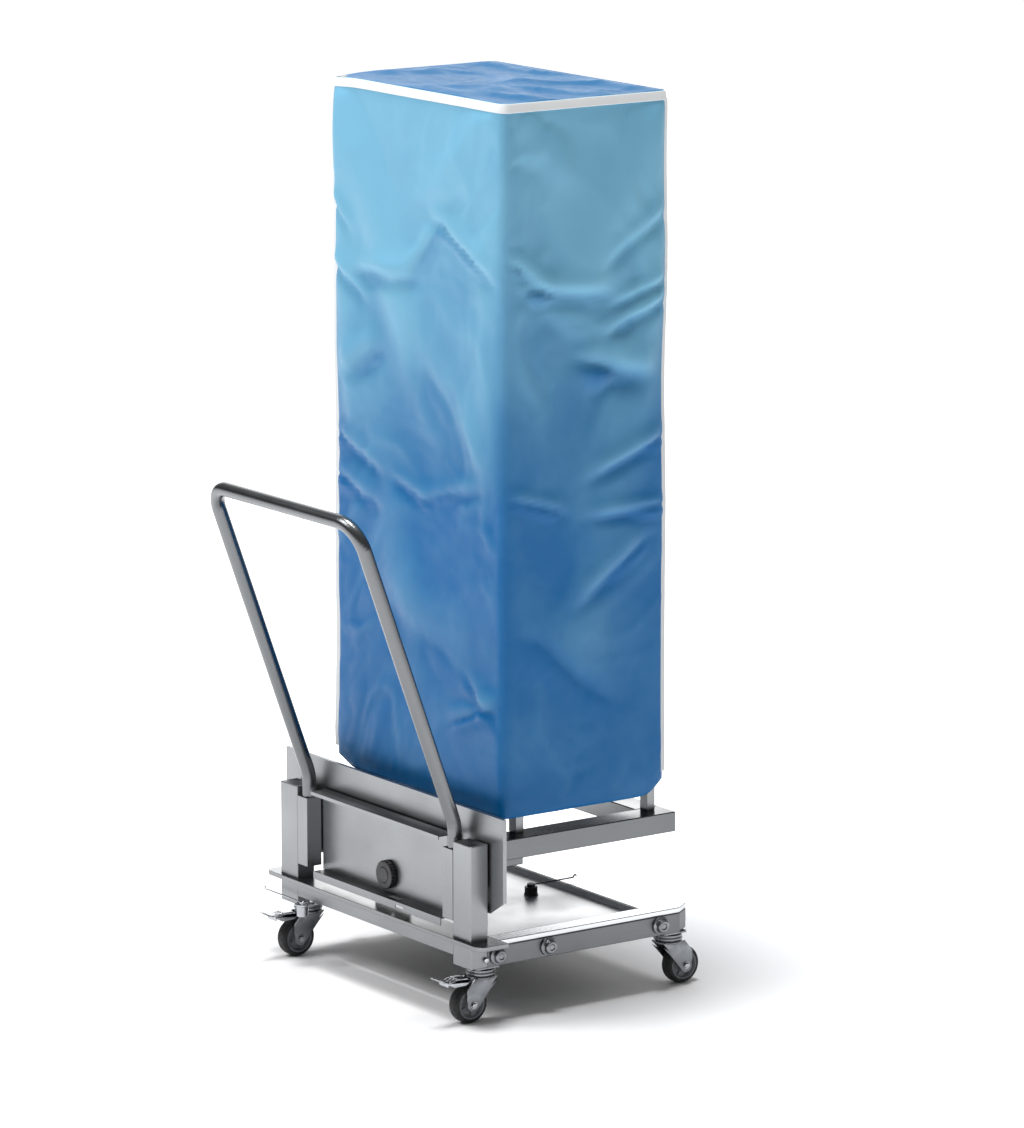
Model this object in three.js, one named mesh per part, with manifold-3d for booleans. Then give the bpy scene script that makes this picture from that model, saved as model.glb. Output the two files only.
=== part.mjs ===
// Covered linen trolley: a low wheeled base with a plug-in push handle, a clamped height-adjustable
// carriage that carries a tall rack, and a fabric cover over the rack.
// Millimetres, +Z up, floor at z = 0. +Y is the direction of travel (handle end to load end),
// +X is the trolley's right. Sizes along Y are given from the front face of the two posts, and the
// whole group is moved at the end so that the origin is the middle of its footprint.
import * as THREE from "three";
import { mergeVertices } from "three/addons/utils/BufferGeometryUtils.js";
import Module from "manifold-3d";

// ---------- driving dimensions ----------
const gap = 0.3; // clearance between pieces that touch

const frameHalf = 330; // outer face of posts and side rails from the centre line
const frameBottom = 110;
const baseLength = 526;
const railWidth = 40;
const railTop = 149;
const rimBottom = 149.6;
const rimTop = 160;
const rimInner = 291;
const endRimFront = 423; // load-end rim, from here to endRimBack
const endRimBack = 460;
const cornerChamfer = [23, 32]; // cut across the load-end corners, along X and along Y

const postWidth = 60;
const postDepth = 40;
const postTop = 352;
const postInner = frameHalf - postWidth;

const stepHalf = 372; // folded step plate that runs round the posts as a bumper
const stepFront = -10;
const stepBack = 59;
const stepTop = 164;
const stepLip = 9;
const stepSheet = 3;
const stepCorner = 16;

const socketSize = 34;
const socketBottom = 195;
const socketTop = 334;
const socketWall = 2;
const socketCentreX = postInner - 1 - socketSize / 2;
const socketCentreY = socketSize / 2;

const panelHalf = 233;
const panelFace = 36; // front of the panel sheet
const panelSheet = 2;
const panelTop = 351;
const panelFloor = 189;
const panelLipFront = 5;
const panelLipBottom = 174;
const panelFlangeHalf = 221;
const panelHem = 7;

const plateHalf = 375; // carriage plate behind the posts
const plateFront = 43.5;
const plateSheet = 3;
const plateReturn = 8;
const plateTop = 407;
const plateBottom = 216;
const plateTongueBottom = 172;
const plateTongueHalf = 60;
const plateCornerCut = [44, 28];

const armInner = 242;
const armOuter = 300;
const armBottom = 304;
const armTop = 344;
const armEnd = 506;
const armCrossDepth = 55;
const bracketEnd = 149;
const bracketDrop = 15;

const clampHeight = 225;
const knobDiameter = 58;
const knobThickness = 12;
const carriageTravel = 35;

const handleTube = 28;
const handleSeat = 234; // lower end of the handle's legs
const handleKneeZ = 378;
const handleBarY = -204;
const handleBarZ = 981;
const handleCornerRadius = 55;
const handleKneeRadius = 90;

const casterX = 300;
const casterY = [44, 488]; // handle end, load end
const wheelDiameter = 75;
const wheelWidth = 31;
const casterTrail = 30;

const rackHalf = 266;
const rackFront = 150;
const rackBack = 480;
const rackLeg = [24, 18];
const rackTop = 1736;
const shelfCount = 4;
const shelfPitch = 325;
const firstShelf = 430;

const coverHalf = 289;
const coverFront = 104;
const coverBack = 488;
const coverBottom = 382;
const coverTop = 1752;
const coverWall = 2.5;
const coverCorner = 14;

// ---------- materials, one per mesh ----------
const finishes = {
  satinSteel: { color: 0xb4b6b8, roughness: 0.32, metalness: 0.95 },
  polishedSteel: { color: 0xd6d8da, roughness: 0.2, metalness: 1 },
  zincSteel: { color: 0x9a9c9f, roughness: 0.4, metalness: 0.9 },
  blackPlastic: { color: 0x1b1c1e, roughness: 0.5, metalness: 0 },
  greyPlastic: { color: 0x77797c, roughness: 0.5, metalness: 0 },
  rubber: { color: 0x202226, roughness: 0.75, metalness: 0 },
  coatedFabric: { color: 0x3d87c0, roughness: 0.45, metalness: 0 },
};

const trolley = new THREE.Group();

function addPiece(name, geometry, finish, parent = trolley) {
  const mesh = new THREE.Mesh(geometry, new THREE.MeshStandardMaterial(finishes[finish]));
  mesh.name = name;
  parent.add(mesh);
  return mesh;
}

// ---------- solids ----------
const wasm = await Module();
wasm.setup();

function solidOf(geometry) {
  const bare = geometry.clone();
  bare.deleteAttribute("normal");
  bare.deleteAttribute("uv");
  const merged = mergeVertices(bare, 1e-4);
  return new wasm.Manifold(
    new wasm.Mesh({
      numProp: 3,
      vertProperties: merged.attributes.position.array,
      triVerts: new Uint32Array(merged.index.array),
    }),
  );
}

function geometryOf(solid) {
  const mesh = solid.getMesh();
  const geometry = new THREE.BufferGeometry();
  geometry.setAttribute("position", new THREE.BufferAttribute(mesh.vertProperties, 3));
  geometry.setIndex(new THREE.BufferAttribute(mesh.triVerts, 1));
  return geometry;
}

function join(...geometries) {
  return geometryOf(geometries.map(solidOf).reduce((all, next) => all.add(next)));
}

function cut(geometry, ...holes) {
  return geometryOf(holes.map(solidOf).reduce((rest, hole) => rest.subtract(hole), solidOf(geometry)));
}

// A box between two corners.
function block([x0, y0, z0], [x1, y1, z1]) {
  const geometry = new THREE.BoxGeometry(x1 - x0, y1 - y0, z1 - z0);
  return geometry.translate((x0 + x1) / 2, (y0 + y1) / 2, (z0 + z1) / 2);
}

// A round bar along "x", "y" or "z", from one end to the other, through the given centre.
function bar(axis, radius, from, to, [x, y, z], sides = 24) {
  const geometry = new THREE.CylinderGeometry(radius, radius, to - from, sides);
  if (axis === "x") geometry.rotateZ(-Math.PI / 2);
  if (axis === "z") geometry.rotateX(Math.PI / 2);
  const middle = (from + to) / 2;
  const at = { x: [middle, y, z], y: [x, middle, z], z: [x, y, middle] }[axis];
  return geometry.translate(...at);
}

function outline(points) {
  return new THREE.Shape(points.map(([u, v]) => new THREE.Vector2(u, v)));
}

// A rectangle with round corners, in plan.
function roundedRectangle(x0, y0, x1, y1, radius) {
  const shape = new THREE.Shape();
  shape.moveTo(x0 + radius, y0);
  shape.lineTo(x1 - radius, y0);
  shape.absarc(x1 - radius, y0 + radius, radius, -Math.PI / 2, 0);
  shape.lineTo(x1, y1 - radius);
  shape.absarc(x1 - radius, y1 - radius, radius, 0, Math.PI / 2);
  shape.lineTo(x0 + radius, y1);
  shape.absarc(x0 + radius, y1 - radius, radius, Math.PI / 2, Math.PI);
  shape.lineTo(x0, y0 + radius);
  shape.absarc(x0 + radius, y0 + radius, radius, Math.PI, Math.PI * 1.5);
  return shape;
}

// A plan outline (x, y) raised from z0 to z1.
function raised(shape, z0, z1, curveSegments = 4) {
  const geometry = new THREE.ExtrudeGeometry(shape, { depth: z1 - z0, bevelEnabled: false, curveSegments });
  return geometry.translate(0, 0, z0);
}

// A side outline (y, z) carried across from x0 to x1.
function carriedAcross(shape, x0, x1, curveSegments = 5) {
  const geometry = new THREE.ExtrudeGeometry(shape, { depth: x1 - x0, bevelEnabled: false, curveSegments });
  const turn = new THREE.Matrix4().makeBasis(
    new THREE.Vector3(0, 1, 0),
    new THREE.Vector3(0, 0, 1),
    new THREE.Vector3(1, 0, 0),
  );
  return geometry.applyMatrix4(turn).translate(x0, 0, 0);
}

// A front outline (x, z) carried back from y0 to y1.
function carriedBack(shape, y0, y1, curveSegments = 3) {
  const geometry = new THREE.ExtrudeGeometry(shape, { depth: y1 - y0, bevelEnabled: false, curveSegments });
  return geometry.rotateX(Math.PI / 2).translate(0, y1, 0);
}

// A profile of [radius, height] points turned about the Z axis.
function turned(profile, sides = 28) {
  const points = profile.map(([r, z]) => new THREE.Vector2(r, z));
  return new THREE.LatheGeometry(points, sides).rotateX(Math.PI / 2);
}

function mirroredX(geometry) {
  const copy = geometry.clone().scale(-1, 1, 1);
  const index = copy.index ?? mergeVertices(copy).index;
  const flipped = copy.index ? copy : mergeVertices(copy);
  const order = new Uint32Array(index.array);
  for (let i = 0; i < order.length; i += 3) [order[i + 1], order[i + 2]] = [order[i + 2], order[i + 1]];
  return flipped.setIndex(new THREE.BufferAttribute(order, 1));
}

// The same piece on the trolley's right and, mirrored, on its left.
function addPair(name, geometry, finish) {
  addPiece(name + "_right", geometry, finish);
  addPiece(name + "_left", mirroredX(geometry), finish);
}

// ---------- base frame ----------
addPair(
  "post",
  block([postInner, 0, frameBottom], [frameHalf, postDepth, postTop]),
  "satinSteel",
);

const railStart = postDepth + gap;
addPair(
  "side_rail",
  raised(
    outline([
      [frameHalf - railWidth, railStart],
      [frameHalf, railStart],
      [frameHalf, baseLength - cornerChamfer[1]],
      [frameHalf - cornerChamfer[0], baseLength],
      [frameHalf - railWidth, baseLength],
    ]),
    frameBottom,
    railTop,
  ),
  "satinSteel",
);

const handleRailBottom = 128;
const handleRailTop = stepTop - stepSheet - gap;
addPiece(
  "handle_end_rail",
  block([-postInner + gap, 0, handleRailBottom], [postInner - gap, postDepth, handleRailTop]),
  "satinSteel",
);

const betweenRails = frameHalf - railWidth - gap;
addPiece(
  "load_end_rail",
  block([-betweenRails, endRimFront, frameBottom], [betweenRails, endRimBack, railTop]),
  "satinSteel",
);

const bearerTop = 144;
const bearerBottom = 120;
const bearerFront = 230;
const bearerDepth = 30;
addPiece(
  "tray_bearer",
  block([-betweenRails, bearerFront, bearerBottom], [betweenRails, bearerFront + bearerDepth, bearerTop]),
  "satinSteel",
);

// Flat rim that caps both side rails and the load-end rail.
const rimStart = stepBack + 1;
addPiece(
  "deck_rim",
  raised(
    outline([
      [rimInner, rimStart],
      [frameHalf, rimStart],
      [frameHalf, baseLength - cornerChamfer[1]],
      [frameHalf - cornerChamfer[0], baseLength],
      [rimInner, baseLength],
      [rimInner, endRimBack],
      [-rimInner, endRimBack],
      [-rimInner, baseLength],
      [-frameHalf + cornerChamfer[0], baseLength],
      [-frameHalf, baseLength - cornerChamfer[1]],
      [-frameHalf, rimStart],
      [-rimInner, rimStart],
      [-rimInner, endRimFront],
      [rimInner, endRimFront],
    ]),
    rimBottom,
    rimTop,
  ),
  "polishedSteel",
);

// Step plate: a sheet with a turned-down edge on three sides, cut out round the two posts.
const stepPlan = roundedRectangle(-stepHalf, stepFront, stepHalf, stepBack + stepCorner, stepCorner);
const stepInside = roundedRectangle(
  -stepHalf + stepSheet,
  stepFront + stepSheet,
  stepHalf - stepSheet,
  stepBack + 2 * stepCorner,
  stepCorner - stepSheet,
);
const postHole = (side) =>
  block(
    [side * (frameHalf - postWidth / 2) - postWidth / 2 - gap, -gap, stepTop - 20],
    [side * (frameHalf - postWidth / 2) + postWidth / 2 + gap, postDepth + gap, stepTop + 1],
  );
addPiece(
  "step_plate",
  cut(
    raised(stepPlan, stepTop - stepLip, stepTop),
    raised(stepInside, stepTop - stepLip - 1, stepTop - stepSheet),
    block([-400, stepBack, 100], [400, stepBack + 60, 200]),
    postHole(1),
    postHole(-1),
  ),
  "polishedSteel",
);

// ---------- drop-in tray ----------
const trayHalf = rimInner - 2;
const trayFront = rimStart + 6;
const trayBack = endRimFront - 1;
const trayFloor = 147;
const traySheet = 2;
const trayEdge = 159;
addPiece(
  "deck_tray",
  cut(
    block([-trayHalf, trayFront, trayFloor - traySheet], [trayHalf, trayBack, trayEdge]),
    block(
      [-trayHalf + traySheet, trayFront + traySheet, trayFloor],
      [trayHalf - traySheet, trayBack - traySheet, trayEdge + 1],
    ),
  ),
  "satinSteel",
);

// Turn latch on the tray: a hub with a wire lever that reaches over the load-end rim.
const latchAt = [45, 342];
const latchHubTop = trayFloor + 17;
addPiece(
  "tray_latch_hub",
  turned([
    [0, trayFloor + gap],
    [14, trayFloor + gap],
    [14, trayFloor + 13],
    [12, latchHubTop],
    [0, latchHubTop],
  ]).translate(latchAt[0], latchAt[1], 0),
  "blackPlastic",
);

// A wire lever with a round boss at its pivot and a hooked tip, lying along +Y from the pivot.
function wireLever(length, wire, bossRadius, bossHeight, bottom) {
  const boss = bar("z", bossRadius, bottom, bottom + bossHeight, [0, 0, 0], 16);
  const centre = bottom + bossHeight / 2;
  const rod = bar("y", wire / 2, bossRadius * 0.5, length, [0, 0, centre], 8);
  const tip = bar("z", wire / 2, centre - wire / 2, centre + 6, [0, length - wire / 2, 0], 8);
  return join(boss, rod, tip);
}
addPiece(
  "tray_latch_lever",
  wireLever(112, 3, 8, 6, latchHubTop + gap).translate(latchAt[0], latchAt[1], 0),
  "blackPlastic",
);

// Cup-shaped lock hub on a lug under the handle-end rail, with a wire lever that lies along -X.
const lockAt = [-223, -20];
const lockCupBottom = 101;
const lockCupTop = 126;
const lockLugTop = handleRailBottom - gap;
addPiece(
  "lock_lever_hub",
  join(
    turned(
      [
        [0, lockCupBottom],
        [11.5, lockCupBottom],
        [13, lockCupTop - 4],
        [15, lockCupTop - 2],
        [15, lockCupTop],
        [0, lockCupTop],
      ],
      20,
    ).translate(lockAt[0], lockAt[1], 0),
    block([lockAt[0] - 9, lockAt[1], lockCupTop - 6], [lockAt[0] + 9, 22, lockCupTop - 2]),
    block([lockAt[0] - 9, 3, lockCupTop - 3], [lockAt[0] + 9, 22, lockLugTop]),
  ),
  "zincSteel",
);
addPiece(
  "lock_lever",
  wireLever(142, 3, 7, 4, lockCupTop + gap)
    .rotateZ(Math.PI / 2)
    .translate(lockAt[0], lockAt[1], 0),
  "zincSteel",
);

// ---------- side buffers ----------
const bufferY = [62, 180, 447];
const bufferZ = 131;
bufferY.forEach((y, i) => {
  const profile = [
    [0, 0],
    [18.5, 0],
    [18.5, 5],
    [13, 6],
    [13, 13],
    [11.5, 14.5],
    [0, 14.5],
  ];
  const buffer = turned(profile, 14)
    .rotateY(Math.PI / 2)
    .translate(frameHalf + gap, y, bufferZ);
  addPair("side_buffer_" + (i + 1), buffer, "zincSteel");
});

// ---------- handle sockets and front panel ----------
const socketOuter = block(
  [socketCentreX - socketSize / 2, 0, socketBottom],
  [socketCentreX + socketSize / 2, socketSize, socketTop],
);
const socketBore = block(
  [socketCentreX - socketSize / 2 + socketWall, socketWall, socketBottom - 1],
  [socketCentreX + socketSize / 2 - socketWall, socketSize - socketWall, socketTop + 1],
);
addPair("handle_socket", cut(socketOuter, socketBore), "satinSteel");

const panelBack = panelFace + panelSheet;
const clampHole = bar("y", 6, panelFace - 2, panelBack + 2, [0, 0, clampHeight], 12);
addPiece(
  "front_panel",
  cut(
    join(
      block([-panelHalf, panelFace, panelFloor - panelSheet], [panelHalf, panelBack, panelTop]),
      block([-panelFlangeHalf, 0, panelTop - panelSheet], [panelFlangeHalf, panelBack, panelTop]),
      block([-panelFlangeHalf, 0, panelTop - panelHem], [panelFlangeHalf, panelSheet, panelTop]),
      block(
        [-panelFlangeHalf, panelLipFront, panelFloor - panelSheet],
        [panelFlangeHalf, panelBack, panelFloor],
      ),
      block(
        [-panelFlangeHalf, panelLipFront, panelLipBottom],
        [panelFlangeHalf, panelLipFront + panelSheet, panelFloor],
      ),
    ),
    clampHole,
    raised(roundedRectangle(18, 16, 64, 30, 6.9), panelFloor - 5, panelFloor + 2),
    carriedBack(roundedRectangle(66, 177, 94, 183, 2.9), panelLipFront - 1, panelLipFront + panelSheet + 1),
  ),
  "satinSteel",
);

// ---------- push handle: one bent tube ----------
function bentPath(corners, radii) {
  const path = new THREE.CurvePath();
  let last = corners[0].clone();
  for (let i = 1; i < corners.length - 1; i++) {
    const before = corners[i - 1].clone().sub(corners[i]).normalize();
    const after = corners[i + 1].clone().sub(corners[i]).normalize();
    const half = before.angleTo(after) / 2;
    const reach = radii[i - 1] / Math.tan(half);
    const start = corners[i].clone().addScaledVector(before, reach);
    const end = corners[i].clone().addScaledVector(after, reach);
    path.add(new THREE.LineCurve3(last, start));
    path.add(new THREE.QuadraticBezierCurve3(start, corners[i].clone(), end));
    last = end;
  }
  path.add(new THREE.LineCurve3(last, corners[corners.length - 1].clone()));
  return path;
}

// Points along a bent path, close together only in its bends.
function bendPoints(path, perBend) {
  const points = [path.curves[0].getPoint(0)];
  for (const curve of path.curves) {
    const steps = curve.isLineCurve3 ? 1 : perBend;
    for (let i = 1; i <= steps; i++) points.push(curve.getPoint(i / steps));
  }
  return points;
}

// A curve whose steps are the given points, with straight runs between them.
class PointCurve extends THREE.Curve {
  constructor(points) {
    super();
    this.points = points;
  }
  getPoint(t, target = new THREE.Vector3()) {
    const place = Math.min(t * (this.points.length - 1), this.points.length - 1.000001);
    const i = Math.floor(place);
    return target.copy(this.points[i]).lerp(this.points[i + 1], place - i);
  }
  getPointAt(t, target) {
    return this.getPoint(t, target);
  }
  getTangentAt(t) {
    const place = t * (this.points.length - 1);
    const i = Math.round(place);
    const before = this.points[Math.max(i - 1, 0)];
    const after = this.points[Math.min(i + 1, this.points.length - 1)];
    const here = this.points[i];
    const incoming = here.clone().sub(before).normalize();
    const outgoing = after.clone().sub(here).normalize();
    return incoming.add(outgoing).normalize();
  }
}

function tubeAlong(points, diameter, sides) {
  const section = outline(
    Array.from({ length: sides }, (_, i) => {
      const angle = (2 * Math.PI * i) / sides;
      return [(diameter / 2) * Math.cos(angle), (diameter / 2) * Math.sin(angle)];
    }),
  );
  return new THREE.ExtrudeGeometry(section, {
    steps: points.length - 1,
    extrudePath: new PointCurve(points),
    bevelEnabled: false,
  });
}

const handleX = socketCentreX;
const handleCorners = [
  new THREE.Vector3(-handleX, socketCentreY, handleSeat),
  new THREE.Vector3(-handleX, socketCentreY, handleKneeZ),
  new THREE.Vector3(-handleX, handleBarY, handleBarZ),
  new THREE.Vector3(handleX, handleBarY, handleBarZ),
  new THREE.Vector3(handleX, socketCentreY, handleKneeZ),
  new THREE.Vector3(handleX, socketCentreY, handleSeat),
];
const handlePath = bentPath(handleCorners, [
  handleKneeRadius,
  handleCornerRadius,
  handleCornerRadius,
  handleKneeRadius,
]);
addPiece("push_handle", tubeAlong(bendPoints(handlePath, 5), handleTube, 12), "satinSteel");

// ---------- carriage: plate, arms and cross member ----------
const plateBack = plateFront + plateSheet;
const plateOutline = outline([
  [-plateTongueHalf, plateTongueBottom],
  [plateTongueHalf, plateTongueBottom],
  [plateTongueHalf, plateBottom],
  [plateHalf - plateCornerCut[0], plateBottom],
  [plateHalf, plateBottom + plateCornerCut[1]],
  [plateHalf, plateTop],
  [-plateHalf, plateTop],
  [-plateHalf, plateBottom + plateCornerCut[1]],
  [-plateHalf + plateCornerCut[0], plateBottom],
  [-plateTongueHalf, plateBottom],
]);
const plateEdge = (side) =>
  block(
    [side > 0 ? plateHalf - plateSheet : -plateHalf, plateFront, plateBottom + plateCornerCut[1]],
    [side > 0 ? plateHalf : -plateHalf + plateSheet, plateFront + plateReturn, plateTop],
  );
const guideX = 316;
const guideWidth = 12;
const guideBottom = 270;
const guideTop = 330;
const guideSlot = (x) =>
  carriedBack(
    roundedRectangle(
      x - guideWidth / 2 - 1,
      guideBottom - carriageTravel - 4,
      x + guideWidth / 2 + 1,
      guideTop + 4,
      guideWidth / 2,
    ),
    plateFront - 1,
    plateBack + 1,
  );
const clampSlot = carriedBack(
  roundedRectangle(-7, clampHeight - carriageTravel - 7, 7, clampHeight + 7, 6.9),
  plateFront - 1,
  plateBack + 1,
);
addPiece(
  "carriage_plate",
  cut(
    join(
      carriedBack(plateOutline, plateFront, plateBack),
      plateEdge(1),
      plateEdge(-1),
      block(
        [-plateHalf, plateFront, plateTop - plateSheet],
        [plateHalf, plateFront + plateReturn, plateTop],
      ),
    ),
    guideSlot(guideX),
    guideSlot(-guideX),
    clampSlot,
  ),
  "satinSteel",
);

const armStart = plateBack + gap;
addPair(
  "carriage_arm",
  join(
    block([armInner, armStart, armBottom], [armOuter, armEnd, armTop]),
    block([armInner + 8, armStart, armBottom - bracketDrop], [armOuter - 8, bracketEnd, armBottom + 1]),
  ),
  "polishedSteel",
);
addPiece(
  "arm_cross_member",
  block([-armInner + gap, armEnd - armCrossDepth, armBottom], [armInner - gap, armEnd, armTop]),
  "polishedSteel",
);

// Guide shoes: fixed to the posts, they run in the plate's side slots and keep it upright.
const shoeCap = 6;
addPair(
  "guide_shoe",
  join(
    block(
      [guideX - guideWidth / 2, postDepth + gap, guideBottom],
      [guideX + guideWidth / 2, plateBack + 1, guideTop],
    ),
    block(
      [guideX - guideWidth / 2 - 4, plateBack + 0.5, guideBottom - shoeCap],
      [guideX + guideWidth / 2 + 4, plateBack + 5, guideTop + shoeCap],
    ),
  ),
  "blackPlastic",
);

// ---------- height clamp ----------
const knobFront = panelFace - knobThickness - 1;
const knobRadius = knobDiameter / 2;
const flute = 1.2;
const fluteCount = 8;
const knobOutline = outline(
  Array.from({ length: fluteCount * 4 }, (_, i) => {
    const angle = (2 * Math.PI * i) / (fluteCount * 4);
    const radius = knobRadius - (i % 4 === 0 ? flute : 0);
    return [radius * Math.cos(angle), clampHeight + radius * Math.sin(angle)];
  }),
);
const nutFront = plateBack + 0.5;
const nutBack = nutFront + 9;
addPiece(
  "clamp_knob",
  join(
    carriedBack(knobOutline, knobFront, knobFront + knobThickness),
    bar("y", 15, knobFront - 2, knobFront + 1, [0, 0, clampHeight], 16),
    bar("y", 4.5, knobFront + 1, nutBack + 6, [0, 0, clampHeight], 10),
  ),
  "blackPlastic",
);
addPiece(
  "clamp_nut",
  cut(
    block([-16, nutFront, clampHeight - 14], [16, nutBack, clampHeight + 14]),
    bar("y", 5, nutFront - 1, nutBack + 1, [0, 0, clampHeight], 10),
  ),
  "zincSteel",
);

// ---------- casters ----------
const wheelRadius = wheelDiameter / 2;
const headTop = frameBottom - gap;
const crownTop = 91;
const crownBottom = 84.5;
const forkInner = wheelWidth / 2 + 2;
const forkSheet = 3;

// A ring of [radius, x] points turned about X. The radii are those of its flats, and a flat lies
// straight down, so that the wheel stands on a flat.
const wheelSides = 24;
function wheelRing(profile) {
  const corner = 1 / Math.cos(Math.PI / wheelSides);
  const closed = [...profile, profile[0]].map(([r, x]) => new THREE.Vector2(r * corner, x));
  return new THREE.LatheGeometry(closed, wheelSides, Math.PI / wheelSides).rotateZ(-Math.PI / 2);
}

const forkSide = new THREE.Shape();
forkSide.moveTo(-26, crownTop - 1);
forkSide.lineTo(-46, 66);
forkSide.lineTo(-45, 44);
forkSide.absarc(-casterTrail, wheelRadius, 14, Math.PI * 0.9, Math.PI * 1.85, false);
forkSide.lineTo(7, 58);
forkSide.lineTo(12, 72);
forkSide.lineTo(26, 80);
forkSide.lineTo(26, crownTop - 1);

function forkGeometry() {
  const plates = [-1, 1].map((side) =>
    carriedAcross(
      forkSide,
      side > 0 ? forkInner : -forkInner - forkSheet,
      side > 0 ? forkInner + forkSheet : -forkInner,
    ),
  );
  const crown = bar("z", 28, crownBottom, crownTop, [0, 0, 0], 20);
  const axleHole = bar("x", 5.3, -40, 40, [0, -casterTrail, wheelRadius], 10);
  return cut(join(crown, ...plates), axleHole);
}

const pedalSide = outline([
  [-22, 77.5],
  [-22, 83],
  [-34, 83.5],
  [-40, 92],
  [-62, 93],
  [-84, 88],
  [-112, 100],
  [-114, 97],
  [-86, 82],
  [-70, 76],
  [-46, 77],
]);

function casterPieces(at, facing, name, braked) {
  const caster = new THREE.Group();
  caster.position.set(at[0], at[1], 0);
  caster.rotation.z = facing;
  trolley.add(caster);
  addPiece(
    name + "_swivel_head",
    join(
      block([-28, -28, headTop - 3], [28, 28, headTop]),
      turned([
        [0, crownTop + gap],
        [26, crownTop + gap],
        [29, crownTop + 2],
        [29, crownTop + 6],
        [24, crownTop + 11],
        [18, headTop - 2],
        [0, headTop - 2],
      ], 20),
    ),
    "zincSteel",
    caster,
  );
  addPiece(name + "_fork", forkGeometry(), "zincSteel", caster);
  const wheelCentre = [0, -casterTrail, wheelRadius];
  addPiece(
    name + "_axle",
    join(
      bar("x", 4.5, -forkInner - forkSheet - 4, forkInner + forkSheet + 4, wheelCentre, 10),
      bar("x", 7.5, forkInner + forkSheet + gap, forkInner + forkSheet + 4.5, wheelCentre, 6),
      bar("x", 7.5, -forkInner - forkSheet - 4.5, -forkInner - forkSheet - gap, wheelCentre, 6),
    ),
    "zincSteel",
    caster,
  );
  const half = wheelWidth / 2;
  const rimRadius = 29.5;
  addPiece(
    name + "_wheel_core",
    wheelRing(
      [
        [5, -half],
        [13, -half],
        [13, -half + 5],
        [26, -half + 3],
        [rimRadius - gap, -half + 1],
        [rimRadius - gap, half - 1],
        [26, half - 3],
        [13, half - 5],
        [13, half],
        [5, half],
      ],
    ).translate(...wheelCentre),
    "greyPlastic",
    caster,
  );
  addPiece(
    name + "_tyre",
    wheelRing(
      [
        [rimRadius, -half + 1],
        [wheelRadius - 3, -half + 1],
        [wheelRadius, -half + 6],
        [wheelRadius, half - 6],
        [wheelRadius - 3, half - 1],
        [rimRadius, half - 1],
      ],
    ).translate(...wheelCentre),
    "rubber",
    caster,
  );
  if (braked) {
    addPiece(
      name + "_brake_pedal",
      join(
        carriedAcross(pedalSide, -15, 15),
        bar("x", 2.4, -forkInner + gap, forkInner - gap, [0, -28, 80.2], 8),
      ),
      "zincSteel",
      caster,
    );
  }
}

for (const [side, sideName] of [[-1, "left"], [1, "right"]]) {
  casterPieces([side * casterX, casterY[0]], 0, "handle_caster_" + sideName, true);
  casterPieces([side * casterX, casterY[1]], Math.PI, "load_caster_" + sideName, false);
}

// ---------- rack ----------
const rackFoot = armTop + gap;
const legAt = (x, y) => block([x, y, rackFoot], [x + rackLeg[0], y + rackLeg[1], rackTop]);
const ringAt = (z) =>
  cut(
    block([-rackHalf, rackFront, z], [rackHalf, rackBack, z + rackLeg[1]]),
    block(
      [-rackHalf + rackLeg[0], rackFront + rackLeg[1], z - 1],
      [rackHalf - rackLeg[0], rackBack - rackLeg[1], z + rackLeg[1] + 1],
    ),
  );
const shelfLevels = Array.from({ length: shelfCount }, (_, i) => firstShelf + i * shelfPitch);
const runnerHeight = 4;
const runnerWidth = 30;
const runnerAt = (side, z) =>
  block(
    [side > 0 ? rackHalf - runnerWidth : -rackHalf, rackFront + 1, z - runnerHeight],
    [side > 0 ? rackHalf : -rackHalf + runnerWidth, rackBack - 1, z],
  );

// A flat bow as large as the cover's top, welded on the top ring to hold the cover square.
const bowTop = coverTop - coverWall - 1;
const bowWidth = 14;
const bowInset = coverWall + 2.5;
const coverBow = cut(
  raised(
    roundedRectangle(
      -coverHalf + bowInset,
      coverFront + bowInset,
      coverHalf - bowInset,
      coverBack - bowInset,
      coverCorner - 3,
    ),
    rackTop - 1,
    bowTop,
  ),
  block(
    [-coverHalf + bowInset + bowWidth, coverFront + bowInset + bowWidth, rackTop - 2],
    [coverHalf - bowInset - bowWidth, rackFront + 2, bowTop + 1],
  ),
  block(
    [-rackHalf + rackLeg[0], rackFront + rackLeg[1], rackTop - 2],
    [rackHalf - rackLeg[0], rackBack - rackLeg[1], bowTop + 1],
  ),
);
addPiece(
  "rack_frame",
  join(
    coverBow,
    legAt(-rackHalf, rackFront),
    legAt(rackHalf - rackLeg[0], rackFront),
    legAt(-rackHalf, rackBack - rackLeg[1]),
    legAt(rackHalf - rackLeg[0], rackBack - rackLeg[1]),
    ringAt(rackTop - rackLeg[1]),
    ...shelfLevels.flatMap((z) => [runnerAt(-1, z), runnerAt(1, z)]),
  ),
  "satinSteel",
);
// Shelves: folded sheets that lie on the rack's runners between the legs.
const shelfLip = 18;
const shelfSheet = 1.5;
const shelfHalf = rackHalf - rackLeg[0] - 1;
shelfLevels.forEach((z, i) => {
  addPiece(
    "shelf_" + (i + 1),
    cut(
      block([-shelfHalf, rackFront + 4, z + gap], [shelfHalf, rackBack - 4, z + gap + shelfLip]),
      block(
        [-shelfHalf + shelfSheet, rackFront + 4 + shelfSheet, z + gap + shelfSheet],
        [shelfHalf - shelfSheet, rackBack - 4 - shelfSheet, z + gap + shelfLip + 1],
      ),
    ),
    "satinSteel",
  );
});

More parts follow.
